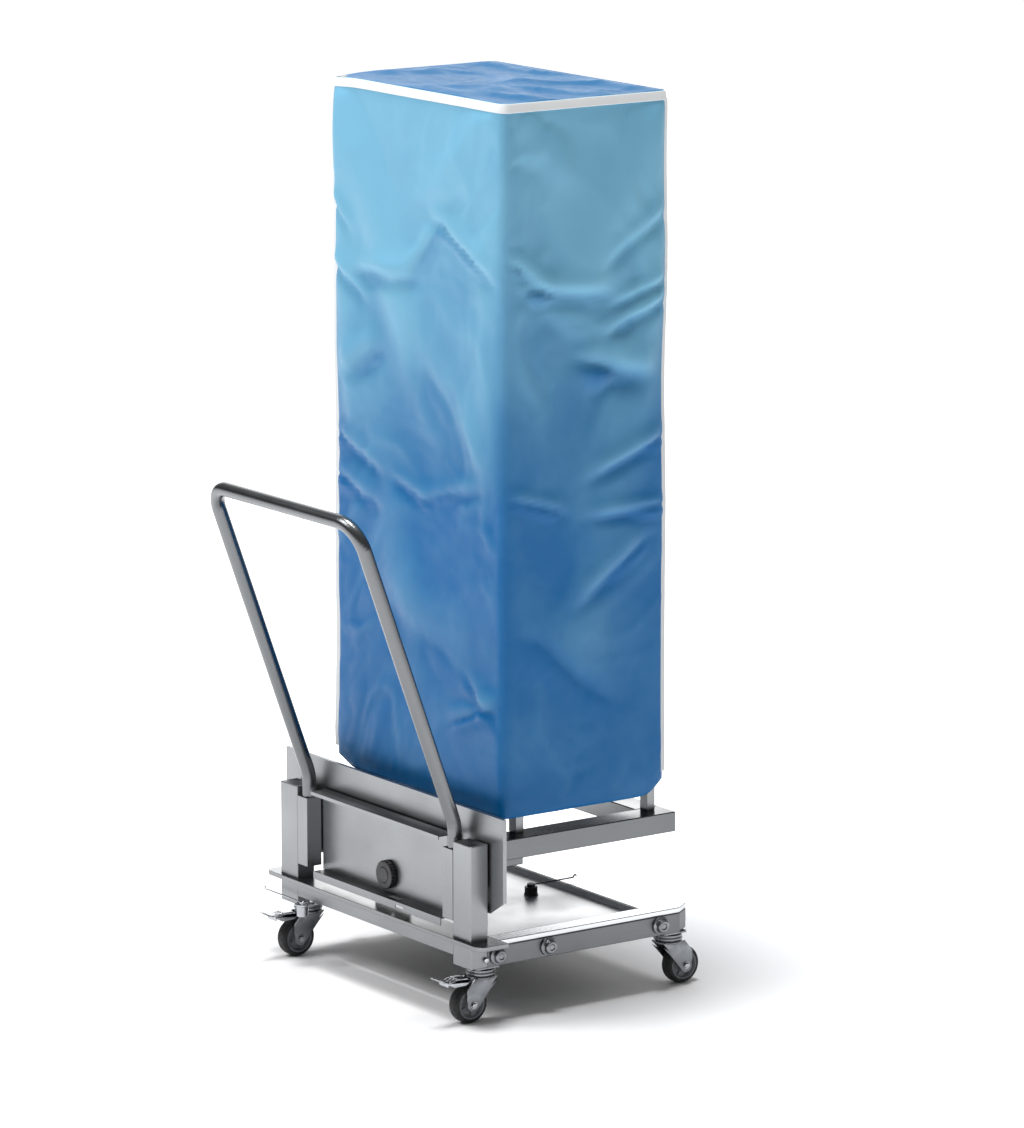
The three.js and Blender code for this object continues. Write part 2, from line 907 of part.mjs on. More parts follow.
// ---------- cover: a closed top and four walls, open below ----------
addPiece(
  "cover",
  cut(
    raised(
      roundedRectangle(-coverHalf, coverFront, coverHalf, coverBack, coverCorner),
      coverBottom,
      coverTop,
      5,
    ),
    raised(
      roundedRectangle(
        -coverHalf + coverWall,
        coverFront + coverWall,
        coverHalf - coverWall,
        coverBack - coverWall,
        coverCorner - coverWall,
      ),
      coverBottom - 1,
      coverTop - coverWall,
      5,
    ),
  ),
  "coatedFabric",
);

// The origin is the middle of the footprint's length.
const extent = new THREE.Box3().setFromObject(trolley);
trolley.position.y = -(extent.min.y + extent.max.y) / 2;

export default trolley;
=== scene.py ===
import math

import bmesh
import bpy
from mathutils import Matrix, Vector, noise


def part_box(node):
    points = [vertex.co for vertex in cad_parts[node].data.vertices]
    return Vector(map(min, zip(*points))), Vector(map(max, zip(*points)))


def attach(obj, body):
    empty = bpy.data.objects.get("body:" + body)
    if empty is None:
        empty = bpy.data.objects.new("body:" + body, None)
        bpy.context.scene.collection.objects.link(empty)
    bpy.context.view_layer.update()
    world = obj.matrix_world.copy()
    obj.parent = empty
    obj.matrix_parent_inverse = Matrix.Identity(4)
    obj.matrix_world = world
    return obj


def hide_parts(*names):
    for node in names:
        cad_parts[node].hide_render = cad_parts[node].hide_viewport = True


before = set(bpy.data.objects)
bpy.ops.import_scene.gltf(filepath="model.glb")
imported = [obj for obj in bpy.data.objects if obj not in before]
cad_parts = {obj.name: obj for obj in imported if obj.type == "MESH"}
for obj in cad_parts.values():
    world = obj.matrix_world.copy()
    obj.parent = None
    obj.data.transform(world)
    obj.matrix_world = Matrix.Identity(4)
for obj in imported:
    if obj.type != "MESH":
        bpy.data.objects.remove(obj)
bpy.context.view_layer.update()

# ---------------------------------------------------------------------------
# Camera, studio floor and light.
# A long lens looks down a little at the push-handle end and the right side, over a white seamless
# floor. One broad lamp overhead, one beside the handle end, and a sky that is darker to the right.
post_low, post_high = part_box("post_right")
look_at = Vector((0.0369, post_low.y + 0.3019, 0.8144))
azimuth, elevation = math.radians(54.86), math.radians(11.52)
distance = 11.842
back = Vector(
    (
        math.sin(azimuth) * math.cos(elevation),
        -math.cos(azimuth) * math.cos(elevation),
        math.sin(elevation),
    )
)
across = Vector((math.cos(azimuth), math.sin(azimuth), 0))
up = back.cross(across)
camera_data = bpy.data.cameras.new("camera")
camera_data.sensor_fit = "HORIZONTAL"
camera_data.sensor_width = 36
camera_data.lens = 214.3
camera_data.clip_end = 200
camera = bpy.data.objects.new("camera", camera_data)
camera.matrix_world = Matrix.Translation(look_at + back * distance) @ Matrix(
    (across, up, back)
).transposed().to_4x4()
bpy.context.collection.objects.link(camera)
bpy.context.scene.camera = camera
bpy.context.scene.view_settings.view_transform = "Standard"


def linear(hex_colour):
    """An sRGB hex colour as linear red, green, blue and alpha."""
    channels = [int(hex_colour[i : i + 2], 16) / 255 for i in (0, 2, 4)]
    curve = [c / 12.92 if c <= 0.04045 else ((c + 0.055) / 1.055) ** 2.4 for c in channels]
    return (*curve, 1)


def add_node(tree, kind, settings=None, links=None):
    """A node with its settings, and with its inputs linked from other nodes' outputs."""
    node = tree.nodes.new(kind)
    for key, value in (settings or {}).items():
        if isinstance(key, int) or key in node.inputs.keys():
            node.inputs[key].default_value = value
        else:
            setattr(node, key, value)
    for key, output in (links or {}).items():
        tree.links.new(node.inputs[key], output)
    return node


def new_material(name, settings):
    """A material with one Principled shader, and its node tree."""
    material = bpy.data.materials.new(name)
    material.use_nodes = True
    tree = material.node_tree
    tree.nodes.clear()
    shader = add_node(tree, "ShaderNodeBsdfPrincipled", settings)
    add_node(tree, "ShaderNodeOutputMaterial", links={"Surface": shader.outputs["BSDF"]})
    return material, tree, shader


def lamp(name, size, watts, place, aim):
    """A white rectangular lamp that points at a place."""
    data = bpy.data.lights.new(name, "AREA")
    data.shape = "RECTANGLE"
    data.size, data.size_y = size
    data.energy = watts
    light = bpy.data.objects.new(name, data)
    turned = (Vector(place) - Vector(aim)).to_track_quat("Z", "Y").to_matrix().to_4x4()
    light.matrix_world = Matrix.Translation(place) @ turned
    bpy.context.collection.objects.link(light)


lamp("overhead", (2.4, 2.4), 520, (-0.2, -0.2, 8.0), (0, 0, 0))
lamp("handle_side", (2.4, 2.4), 165, (-1.5, -3.6, 5.0), (0, 0, 1.0))

# The sky is dim at the horizon and brighter overhead, with one broad bright patch low behind the
# left corner, which the flat tops of the metal parts pick up.
sky_low, sky_rise = 0.09, 0.30
patch_towards = Vector((-0.80, 0.56, 0.24)).normalized()
patch_strength, patch_tightness = 3.0, 16.0
world = bpy.data.worlds.new("studio")
bpy.context.scene.world = world
world.use_nodes = True
world.node_tree.nodes.clear()
towards = add_node(world.node_tree, "ShaderNodeTexCoord")
rise = add_node(world.node_tree, "ShaderNodeSeparateXYZ", links={0: towards.outputs["Generated"]})
dome = add_node(
    world.node_tree,
    "ShaderNodeMapRange",
    {"From Min": 0.0, "From Max": 1.0, "To Min": sky_low, "To Max": sky_low + sky_rise},
    {"Value": rise.outputs["Z"]},
)
towards_patch = add_node(
    world.node_tree,
    "ShaderNodeVectorMath",
    {"operation": "DOT_PRODUCT", 1: patch_towards},
    {0: towards.outputs["Generated"]},
)
patch_side_only = add_node(
    world.node_tree,
    "ShaderNodeMath",
    {"operation": "MAXIMUM", 1: 0.0},
    {0: towards_patch.outputs["Value"]},
)
patch = add_node(
    world.node_tree,
    "ShaderNodeMath",
    {"operation": "POWER", 1: patch_tightness},
    {0: patch_side_only.outputs["Value"]},
)
level = add_node(
    world.node_tree,
    "ShaderNodeMath",
    {"operation": "MULTIPLY_ADD", 1: patch_strength},
    {0: patch.outputs["Value"], 2: dome.outputs[0]},
)
sky = add_node(world.node_tree, "ShaderNodeBackground", links={"Strength": level.outputs["Value"]})
add_node(world.node_tree, "ShaderNodeOutputWorld", links={"Surface": sky.outputs["Background"]})

# White paper that glows with painted light, growing with distance from the trolley, so that it
# stays white into the distance and only the trolley's own shadow near it is left dark.
shadow_ends, all_white, paper_glow = 0.42, 1.5, 0.75
paper_fibre = 1 / 900  # real fibres are about 0.1 mm apart: drawn coarser so that they show
floor_half = 60
paper, paper_tree, paper_shader = new_material(
    "white_paper_backdrop",
    {
        "Base Color": linear("F7F7F8"),
        "Roughness": 0.9,
        "Specular IOR Level": 0.1,
        "Emission Color": linear("FFFFFF"),
    },
)
paper_place = add_node(paper_tree, "ShaderNodeTexCoord")
reach = add_node(
    paper_tree, "ShaderNodeVectorMath", {"operation": "LENGTH"}, {0: paper_place.outputs["Object"]}
)
glow = add_node(
    paper_tree,
    "ShaderNodeMapRange",
    {
        "interpolation_type": "SMOOTHSTEP",
        "From Min": shadow_ends,
        "From Max": all_white,
        "To Min": 0.0,
        "To Max": paper_glow,
    },
    {"Value": reach.outputs["Value"]},
)
paper_grain = add_node(paper_tree, "ShaderNodeTexNoise", {"Scale": 1 / paper_fibre, "Detail": 2.0})
paper_bump = add_node(
    paper_tree,
    "ShaderNodeBump",
    {"Strength": 0.03, "Distance": 0.0004},
    {"Height": paper_grain.outputs[0]},
)
paper_tree.links.new(paper_shader.inputs["Emission Strength"], glow.outputs[0])
paper_tree.links.new(paper_shader.inputs["Normal"], paper_bump.outputs["Normal"])
floor_bm = bmesh.new()
bmesh.ops.create_grid(floor_bm, x_segments=2, y_segments=2, size=floor_half)
floor_mesh = bpy.data.meshes.new("floor")
floor_bm.to_mesh(floor_mesh)
floor_bm.free()
floor = bpy.data.objects.new("floor", floor_mesh)
floor_mesh.materials.append(paper)
bpy.context.collection.objects.link(floor)

# ---------------------------------------------------------------------------
# Base frame: posts, side rails, end rails and tray bearer.
# Welded box section in stainless steel (AISI 304), dull-polished with a belt along each length, so
# the grain runs lengthwise, highlights stretch across it, and the folded corners catch the light.
steel_grain_width = 0.0012  # real belt lines are about 0.1 mm wide: drawn coarser so that they show
steel_grain_length = 0.09
steel_patch = 1 / 7  # broad patches where the belt bore harder, 140 mm across
line_shade = 0.86  # the bottom of a polishing line against its top
noise_low, noise_high = 0.3, 0.7  # a noise pattern seldom leaves this range


def brushed_steel(name, hex_colour, roughness, grain_axis, grain_depth=0.00002):
    """Stainless steel with fine polishing lines along one axis and patches of softer shine."""
    material, tree, shader = new_material(
        name,
        {
            "Base Color": linear(hex_colour),
            "Metallic": 1.0,
            "Roughness": roughness,
            "Anisotropic": 0.35,
        },
    )
    stretch = [1 / steel_grain_width] * 3
    stretch["xyz".index(grain_axis)] = 1 / steel_grain_length
    place = add_node(tree, "ShaderNodeTexCoord")
    scaled = add_node(
        tree, "ShaderNodeMapping", {"Scale": stretch}, {"Vector": place.outputs["Object"]}
    )
    lines = add_node(
        tree,
        "ShaderNodeTexNoise",
        {"Scale": 1.0, "Detail": 3.0},
        {"Vector": scaled.outputs["Vector"]},
    )
    patches = add_node(
        tree,
        "ShaderNodeTexNoise",
        {"Scale": 1 / steel_patch, "Detail": 3.0},
        {"Vector": place.outputs["Object"]},
    )
    colour = linear(hex_colour)
    tone = add_node(
        tree,
        "ShaderNodeMix",
        {"data_type": "RGBA", 6: colour, 7: (*[c * line_shade for c in colour[:3]], 1)},
        {0: lines.outputs[0]},
    )
    gloss = add_node(
        tree,
        "ShaderNodeMapRange",
        {
            "From Min": noise_low,
            "From Max": noise_high,
            "To Min": roughness * 0.86,
            "To Max": roughness * 1.18,
        },
        {"Value": patches.outputs[0]},
    )
    bump = add_node(
        tree,
        "ShaderNodeBump",
        {"Strength": 0.5, "Distance": grain_depth},
        {"Height": lines.outputs[0]},
    )
    tree.links.new(shader.inputs["Base Color"], tone.outputs[2])
    tree.links.new(shader.inputs["Roughness"], gloss.outputs[0])
    tree.links.new(shader.inputs["Normal"], bump.outputs["Normal"])
    return material


box_edge, rail_edge, bearer_edge = 0.0022, 0.0018, 0.0015  # outer corner radii of the sections
weld_within = 2e-5
least_fold = 28  # degrees: a shallower edge belongs to a curve and stays as it is
satin_along = {a: brushed_steel("satin_stainless_" + a, "909294", 0.36, a) for a in "xyz"}
# The side rails get a darker copy of the same satin steel colour: painted shade.
rail_steel_painted_darker = brushed_steel("satin_stainless_rail_painted_darker", "747678", 0.36, "y")


def place_piece(name, bm, material, body, replaced=(), crease=35):
    """Turns a bmesh into an object that rides on a body and stands for CAD nodes."""
    mesh = bpy.data.meshes.new(name)
    bm.to_mesh(mesh)
    bm.free()
    for polygon in mesh.polygons:
        polygon.use_smooth = True
    mesh.set_sharp_from_angle(angle=math.radians(crease))
    mesh.materials.append(material)
    piece = bpy.data.objects.new(name, mesh)
    bpy.context.collection.objects.link(piece)
    if replaced:
        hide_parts(*replaced)
    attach(piece, body)
    return piece


def eased(node, body, material, width, segments=3):
    """A folded or sawn piece as the frame gives it, with its edges rounded off."""
    bm = bmesh.new()
    bm.from_mesh(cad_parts[node].data)
    bmesh.ops.remove_doubles(bm, verts=bm.verts, dist=weld_within)
    bmesh.ops.dissolve_limit(
        bm, angle_limit=math.radians(1), verts=bm.verts, edges=bm.edges, delimit={"NORMAL"}
    )
    folded = math.radians(least_fold)
    sharp = [e for e in bm.edges if e.is_manifold and e.calc_face_angle() > folded]
    bmesh.ops.bevel(
        bm,
        geom=sharp,
        offset=width,
        offset_type="OFFSET",
        affect="EDGES",
        segments=segments,
        profile=0.5,
        material=-1,
        clamp_overlap=True,
    )
    piece = place_piece(node + "_finished", bm, material, body, [node], crease=60)
    even = piece.modifiers.new("even_faces", "WEIGHTED_NORMAL")
    even.keep_sharp = True
    return piece


for side in ("right", "left"):
    eased("post_" + side, "base", satin_along["z"], box_edge)
    eased("side_rail_" + side, "base", rail_steel_painted_darker, rail_edge)
eased("handle_end_rail", "base", satin_along["x"], rail_edge)
eased("load_end_rail", "base", satin_along["x"], rail_edge)
eased("tray_bearer", "base", satin_along["x"], bearer_edge)

# ---------------------------------------------------------------------------
# Deck rim and step plate.
# Folded stainless sheet with a finer polish than the box section, with a bright line along each
# folded edge. The rim's copy of the steel colour is much lighter, painted light that keeps it
# nearly white, and the step plate's copy is darker, painted shade.
rim_edge, sheet_edge = 0.0016, 0.0008
polished_along = {
    "x": brushed_steel("polished_stainless_x_painted_darker", "868889", 0.24, "x"),
    "y": brushed_steel("polished_stainless_y_painted_lighter", "D8DADC", 0.24, "y"),
}
eased("deck_rim", "base", polished_along["y"], rim_edge)
eased("step_plate", "base", polished_along["x"], sheet_edge, 2)


# ---------------------------------------------------------------------------
# Side buffers and cap screws on the side rails.
# Turned zinc-plated cups screwed to the rail to take knocks, and hexagon cap screws low on the
# posts. Zinc plate is a duller, bluer grey than the stainless, with a faint cloudy bloom.
zinc_cloud = 1 / 60  # clouds 17 mm across
zinc_pit = 1 / 1400  # real pits are about 0.1 mm across: drawn coarser so that they show
cloud_shade = 0.72


def plated_steel(name, hex_colour, roughness):
    """Zinc-plated steel with a cloudy bloom and fine pits."""
    material, tree, shader = new_material(
        name, {"Base Color": linear(hex_colour), "Metallic": 1.0, "Roughness": roughness}
    )
    place = add_node(tree, "ShaderNodeTexCoord")
    bloom = add_node(
        tree,
        "ShaderNodeTexNoise",
        {"Scale": 1 / zinc_cloud, "Detail": 4.0},
        {"Vector": place.outputs["Object"]},
    )
    colour = linear(hex_colour)
    tone = add_node(
        tree,
        "ShaderNodeMix",
        {"data_type": "RGBA", 6: colour, 7: (*[c * cloud_shade for c in colour[:3]], 1)},
        {0: bloom.outputs[0]},
    )
    gloss = add_node(
        tree,
        "ShaderNodeMapRange",
        {
            "From Min": noise_low,
            "From Max": noise_high,
            "To Min": roughness * 0.8,
            "To Max": roughness * 1.3,
        },
        {"Value": bloom.outputs[0]},
    )
    pits = add_node(
        tree,
        "ShaderNodeTexNoise",
        {"Scale": 1 / zinc_pit, "Detail": 2.0},
        {"Vector": place.outputs["Object"]},
    )
    bump = add_node(
        tree,
        "ShaderNodeBump",
        {"Strength": 0.25, "Distance": 0.00004},
        {"Height": pits.outputs[0]},
    )
    tree.links.new(shader.inputs["Base Color"], tone.outputs[2])
    tree.links.new(shader.inputs["Roughness"], gloss.outputs[0])
    tree.links.new(shader.inputs["Normal"], bump.outputs["Normal"])
    return material


zinc = plated_steel("zinc_plated_steel", "8E9195", 0.3)
bright_zinc = plated_steel("bright_zinc_plated_steel", "C3C6CA", 0.2)


def turn(bm, profile, axis="z", centre=(0, 0, 0), steps=48):
    """Turns a closed or axis-to-axis profile of (radius, height) points about an axis."""
    spokes = {"x": ("y", "x"), "y": ("x", "y"), "z": ("x", "z")}[axis]
    ring = []
    for radius, height in profile:
        point = Vector(centre)
        setattr(point, spokes[0], getattr(point, spokes[0]) + radius)
        setattr(point, spokes[1], getattr(point, spokes[1]) + height)
        ring.append(bm.verts.new(point))
    edges = [bm.edges.new(pair) for pair in zip(ring, ring[1:])]
    if profile[0][0] > 1e-6 and profile[-1][0] > 1e-6:
        edges.append(bm.edges.new((ring[-1], ring[0])))
    bmesh.ops.spin(
        bm,
        geom=ring + edges,
        cent=centre,
        axis=[float(axis == a) for a in "xyz"],
        angle=math.tau,
        steps=steps,
        use_merge=True,
    )


def closed_up(bm):
    """Merges the seams and poles that turning leaves and points all faces outwards."""
    bmesh.ops.remove_doubles(bm, verts=bm.verts, dist=1e-6)
    bmesh.ops.dissolve_degenerate(bm, edges=bm.edges, dist=1e-7)
    bmesh.ops.recalc_face_normals(bm, faces=bm.faces)


def mm(*values):
    """Millimetres as metres."""
    return [v / 1000 for v in values]


def rounded_profile(points, radius, steps=3):
    """A (radius, height) profile with each inner corner replaced by a short arc."""
    most_of_side = 0.45
    smooth = [points[0]]
    for before, corner, after in zip(points, points[1:], points[2:]):
        corner = Vector(corner)
        back_to, on_to = Vector(before) - corner, Vector(after) - corner
        reach = min(radius, back_to.length * most_of_side, on_to.length * most_of_side)
        start, end = corner + back_to.normalized() * reach, corner + on_to.normalized() * reach
        for i in range(steps + 1):
            t = i / steps
            smooth.append(tuple(start * (1 - t) ** 2 + corner * 2 * t * (1 - t) + end * t**2))
    return smooth + [points[-1]]


def edges_of(verts):
    """Every edge that meets some vertices, once each and in order."""
    return list(dict.fromkeys(e for v in verts for e in v.link_edges))


def soften(bm, edges, width, segments=2):
    """Rounds edges off."""
    bmesh.ops.bevel(
        bm, geom=edges, offset=width, affect="EDGES", segments=segments, profile=0.5, material=-1
    )


lying_across = Matrix.Rotation(math.radians(90), 4, "Y")


def hex_head(bm, across_flats, thickness, stand):
    """A hexagon screw head with softened corners, made on the place and turn that stand gives."""
    softened_share = 0.14
    made = bmesh.ops.create_cone(
        bm,
        cap_ends=True,
        segments=6,
        radius1=across_flats / math.sqrt(3),
        radius2=across_flats / math.sqrt(3),
        depth=thickness,
        matrix=stand,
    )["verts"]
    soften(bm, edges_of(made), thickness * softened_share)


screw_up, screw_in = 0.126, 0.034  # the cap screw's place on the post's outer face
screw_flats, screw_thickness = 0.010, 0.0048
buffer_profile = rounded_profile(
    [mm(0, 0.2), mm(18.3, 0.2), mm(18.3, 4.2), mm(14.6, 5), mm(12.8, 7), mm(12.8, 13.2)]
    + [mm(10.2, 14.4), mm(6.4, 14.4), mm(5.6, 12.2), mm(0, 12.2)],
    0.0012,
)
for side, sign in (("right", 1), ("left", -1)):
    for number in (1, 2, 3):
        node = "side_buffer_%d_%s" % (number, side)
        low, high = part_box(node)
        foot = Vector((low.x if sign > 0 else high.x, (low.y + high.y) / 2, (low.z + high.z) / 2))
        cup = bmesh.new()
        turn(cup, [(r, h * sign) for r, h in buffer_profile], "x", foot, 56)
        closed_up(cup)
        place_piece(node + "_cup", cup, zinc, "base", [node])
    screw = bmesh.new()
    outer = (sign * (post_high.x + screw_thickness / 2), post_low.y + screw_in, screw_up)
    hex_head(screw, screw_flats, screw_thickness, Matrix.Translation(outer) @ lying_across)
    place_piece("post_cap_screw_" + side, screw, bright_zinc, "base")

# ---------------------------------------------------------------------------
# Lower tray with its turn latch.
# A shallow drop-in tray in stainless sheet, dull-polished, and a moulded black latch: a fluted hub
# with a wire lever that reaches over the rim.
# The tray gets a much lighter copy of the steel colour: painted light that keeps it nearly white
# under the cover's shadow.
tray_steel_painted_lighter = brushed_steel("tray_stainless_painted_lighter", "ECEDEE", 0.4, "x")
eased("deck_tray", "tray", tray_steel_painted_lighter, sheet_edge, 2)

spark_texture = 1 / 1100  # a real spark-eroded skin is finer: drawn coarser so that it shows
handled_patch = 1 / 35


def moulded_plastic(name, hex_colour, roughness, grain=0.00006):
    """Moulded glass-filled nylon: an even colour with a fine spark-eroded texture."""
    material, tree, shader = new_material(
        name, {"Base Color": linear(hex_colour), "Roughness": roughness, "IOR": 1.53}
    )
    place = add_node(tree, "ShaderNodeTexCoord")
    skin = add_node(
        tree,
        "ShaderNodeTexNoise",
        {"Scale": 1 / spark_texture, "Detail": 3.0},
        {"Vector": place.outputs["Object"]},
    )
    wear = add_node(
        tree,
        "ShaderNodeTexNoise",
        {"Scale": 1 / handled_patch, "Detail": 3.0},
        {"Vector": place.outputs["Object"]},
    )
    gloss = add_node(
        tree,
        "ShaderNodeMapRange",
        {
            "From Min": noise_low,
            "From Max": noise_high,
            "To Min": roughness * 0.85,
            "To Max": roughness * 1.15,
        },
        {"Value": wear.outputs[0]},
    )
    bump = add_node(
        tree, "ShaderNodeBump", {"Strength": 0.4, "Distance": grain}, {"Height": skin.outputs[0]}
    )
    tree.links.new(shader.inputs["Roughness"], gloss.outputs[0])
    tree.links.new(shader.inputs["Normal"], bump.outputs["Normal"])
    return material


def block(bm, low, high, placed=Matrix()):
    """A block between two corners, then turned and moved by a matrix; gives its vertices."""
    low, high = Vector(low), Vector(high)
    sized = Matrix.Translation((low + high) / 2) @ Matrix.Diagonal((*(high - low), 1))
    return bmesh.ops.create_cube(bm, size=1, matrix=placed @ sized)["verts"]


def upright_edges(verts):
    """The edges at some vertices that stand upright."""
    return [e for e in edges_of(verts) if abs(e.verts[0].co.z - e.verts[1].co.z) > 1e-5]


black_plastic = moulded_plastic("black_nylon", "17181A", 0.42)

# A thin, matt, nearly black sheet under the tray: painted shade, put there to darken the floor's
# shadow under the trolley.
tray_low, tray_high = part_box("deck_tray")
pad_top, pad_thickness, pad_margin, pad_corner = tray_low.z - 0.0001, 0.0008, 0.012, 0.010
pad = bmesh.new()
made = block(
    pad,
    (tray_low.x + pad_margin, tray_low.y + pad_margin, pad_top - pad_thickness),
    (tray_high.x - pad_margin, tray_high.y - pad_margin, pad_top),
)
soften(pad, upright_edges(made), pad_corner, 4)
painted_shade_sheet = moulded_plastic("black_painted_shade_sheet", "101011", 0.8, 0.0002)
place_piece("tray_painted_shade_sheet", pad, painted_shade_sheet, "tray")

rib_count = 10
rib_radius, rib_height = 0.0118, 0.0078
rib_half = Vector((0.0011, 0.0010, 0.00375))
latch_low, latch_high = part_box("tray_latch_hub")
latch_at = Vector(((latch_low.x + latch_high.x) / 2, (latch_low.y + latch_high.y) / 2, 0))
hub = bmesh.new()
turn(
    hub,
    rounded_profile(
        [(0, latch_low.z), (0.0140, latch_low.z), (0.0140, latch_low.z + 0.0028)]
        + [(0.0118, latch_low.z + 0.0036), (0.0118, latch_high.z - 0.0042)]
        + [(0.0128, latch_high.z - 0.0034), (0.0128, latch_high.z), (0.0072, latch_high.z)]
        + [(0.0072, latch_high.z - 0.002), (0, latch_high.z - 0.002)],
        0.0007,
    ),
    "z",
    latch_at,
    60,
)
rib_level = Matrix.Translation(latch_at + Vector((0, 0, latch_low.z + rib_height)))
for rib in range(rib_count):
    round_hub = Matrix.Rotation(math.tau * rib / rib_count, 4, "Z")
    outwards = Matrix.Translation((rib_radius, 0, 0))
    block(hub, -rib_half, rib_half, rib_level @ round_hub @ outwards)
closed_up(hub)
place_piece(
    "tray_latch_hub_moulding", hub, black_plastic, "tray", ["tray_latch_hub"]
)


def sweep(bm, start, direction, radius, moves, sides):
    """A round bar made by extruding and turning its end ring.

    A move is ("run", length) or ("turn", axis, degrees, bend radius).
    """
    degrees_a_step = 6
    heading = Vector(direction).normalized()
    ring = bmesh.ops.create_circle(bm, cap_ends=True, radius=radius, segments=sides)["verts"]
    to_place = Matrix.Translation(start) @ heading.to_track_quat("Z", "Y").to_matrix().to_4x4()
    bmesh.ops.transform(bm, matrix=to_place, verts=ring)
    end_face = ring[0].link_faces[0]
    first_face = end_face
    centre = Vector(start)
    ends = []
    for move in moves:
        if move[0] == "run":
            made = bmesh.ops.extrude_face_region(bm, geom=[end_face])["geom"]
            end_face = next(g for g in made if isinstance(g, bmesh.types.BMFace))
            bmesh.ops.translate(bm, vec=heading * move[1], verts=list(end_face.verts))
            centre = centre + heading * move[1]
        else:
            axis, degrees, bend = move[1:]
            angle = math.radians(degrees)
            towards_middle = axis.cross(heading).normalized() * math.copysign(bend, angle)
            middle = centre + towards_middle
            steps = max(2, round(abs(degrees) / degrees_a_step))
            for _ in range(steps):
                made = bmesh.ops.extrude_face_region(bm, geom=[end_face])["geom"]
                end_face = next(g for g in made if isinstance(g, bmesh.types.BMFace))
                bmesh.ops.rotate(
                    bm,
                    cent=middle,
                    matrix=Matrix.Rotation(angle / steps, 3, axis),
                    verts=list(end_face.verts),
                )
            heading = Matrix.Rotation(angle, 3, axis) @ heading
            centre = middle + Matrix.Rotation(angle, 3, axis) @ (centre - middle)
        ends.append(end_face)
    inner = [f for f in ends[:-1] if f.is_valid and f is not first_face]
    doomed = [f for f in inner if all(len(e.link_faces) > 2 for e in f.edges)]
    bmesh.ops.delete(bm, geom=doomed, context="FACES_ONLY")


def wire_and_boss(bm, pivot, along, length, wire, boss_radius, boss_low, boss_high):
    """A pivot boss, and a wire that leaves it, runs out level and turns up in a small hook."""
    dish, dish_edge, dish_floor = 0.001, boss_radius * 0.55, boss_radius * 0.5
    turn(
        bm,
        rounded_profile(
            [(0, boss_low), (boss_radius, boss_low), (boss_radius, boss_high)]
            + [(dish_edge, boss_high), (dish_floor, boss_high - dish), (0, boss_high - dish)],
            0.0006,
        ),
        "z",
        Vector((pivot.x, pivot.y, 0)),
        40,
    )
    root, hook = boss_radius * 0.6, 0.010
    level = Vector((pivot.x, pivot.y, (boss_low + boss_high) / 2))
    tip_turn = along.cross(Vector((0, 0, 1)))
    sweep(
        bm,
        level + along * root,
        along,
        wire / 2,
        [("run", length - root - hook), ("turn", tip_turn, 60, 0.0035)]
        + [("run", 0.002), ("turn", tip_turn, -110, 0.0025), ("run", 0.002)],
        12,
    )


lever_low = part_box("tray_latch_lever")[0].z
lever_length, lever_wire, lever_boss, lever_boss_height = 0.110, 0.003, 0.008, 0.006
lever = bmesh.new()
wire_and_boss(
    lever,
    latch_at,
    Vector((0, 1, 0)),
    lever_length,
    lever_wire,
    lever_boss,
    lever_low,
    lever_low + lever_boss_height,
)
closed_up(lever)
place_piece(
    "tray_latch_wire", lever, black_plastic, "tray_latch", ["tray_latch_lever"]
)

# ---------------------------------------------------------------------------
# Lock hub under the handle-end rail, with its wire lever.
# A pressed zinc-plated cup with a flared rim on a lug welded under the rail. The lever is bent wire
# on a flat boss that turns on top of the cup.
lock_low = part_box("lock_lever")[0].z
cup_low, lug_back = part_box("lock_lever_hub")
cup_radius = 0.015
lock_at = Vector((cup_low.x + cup_radius, cup_low.y + cup_radius, 0))
lock_cup = bmesh.new()
lock_top = lock_low - 0.0003
turn(
    lock_cup,
    rounded_profile(
        [(0, cup_low.z), (0.0112, cup_low.z), (0.0126, lock_top - 0.0045)]
        + [(0.0149, lock_top - 0.0030), (0.0149, lock_top), (0.0135, lock_top)]
        + [(0.0128, lock_top - 0.0016), (0.0, lock_top - 0.0016)],
        0.0008,
    ),
    "z",
    lock_at,
    64,
)

# The lug is a strip that runs back from the cup and a flat welded up to the rail.
lug_left, lug_right = lock_at.x - 0.0088, lock_at.x + 0.0088
strip_front, weld_front, lug_edge = lock_at.y + 0.008, lug_back.y - 0.019, 0.0007
for low, high in (
    ((lug_left, strip_front, lock_top - 0.0062), (lug_right, lug_back.y, lock_top - 0.0022)),
    ((lug_left, weld_front, lock_top - 0.0030), (lug_right, lug_back.y, lug_back.z)),
):
    soften(lock_cup, edges_of(block(lock_cup, low, high)), lug_edge)
closed_up(lock_cup)
place_piece("lock_hub_cup", lock_cup, bright_zinc, "base", ["lock_lever_hub"])
lock_length, lock_wire, lock_boss, lock_boss_height = 0.140, 0.003, 0.007, 0.004
lock_lever = bmesh.new()
wire_and_boss(
    lock_lever,
    lock_at,
    Vector((-1, 0, 0)),
    lock_length,
    lock_wire,
    lock_boss,
    lock_low,
    lock_low + lock_boss_height,
)
closed_up(lock_lever)
place_piece("lock_lever_wire", lock_lever, bright_zinc, "lock", ["lock_lever"])

# ---------------------------------------------------------------------------
# Handle sockets, front panel, and the push handle plugged into them.
# Sockets are square tube welded beside the posts, the panel is folded sheet between them, and the
# handle is one stainless tube, 28 mm in diameter, bent on a former and dull-polished all round.
socket_edge, panel_edge = 0.0009, 0.0006
for side in ("right", "left"):
    eased("handle_socket_" + side, "base", satin_along["z"], socket_edge, 2)
eased("front_panel", "base", satin_along["x"], panel_edge, 2)

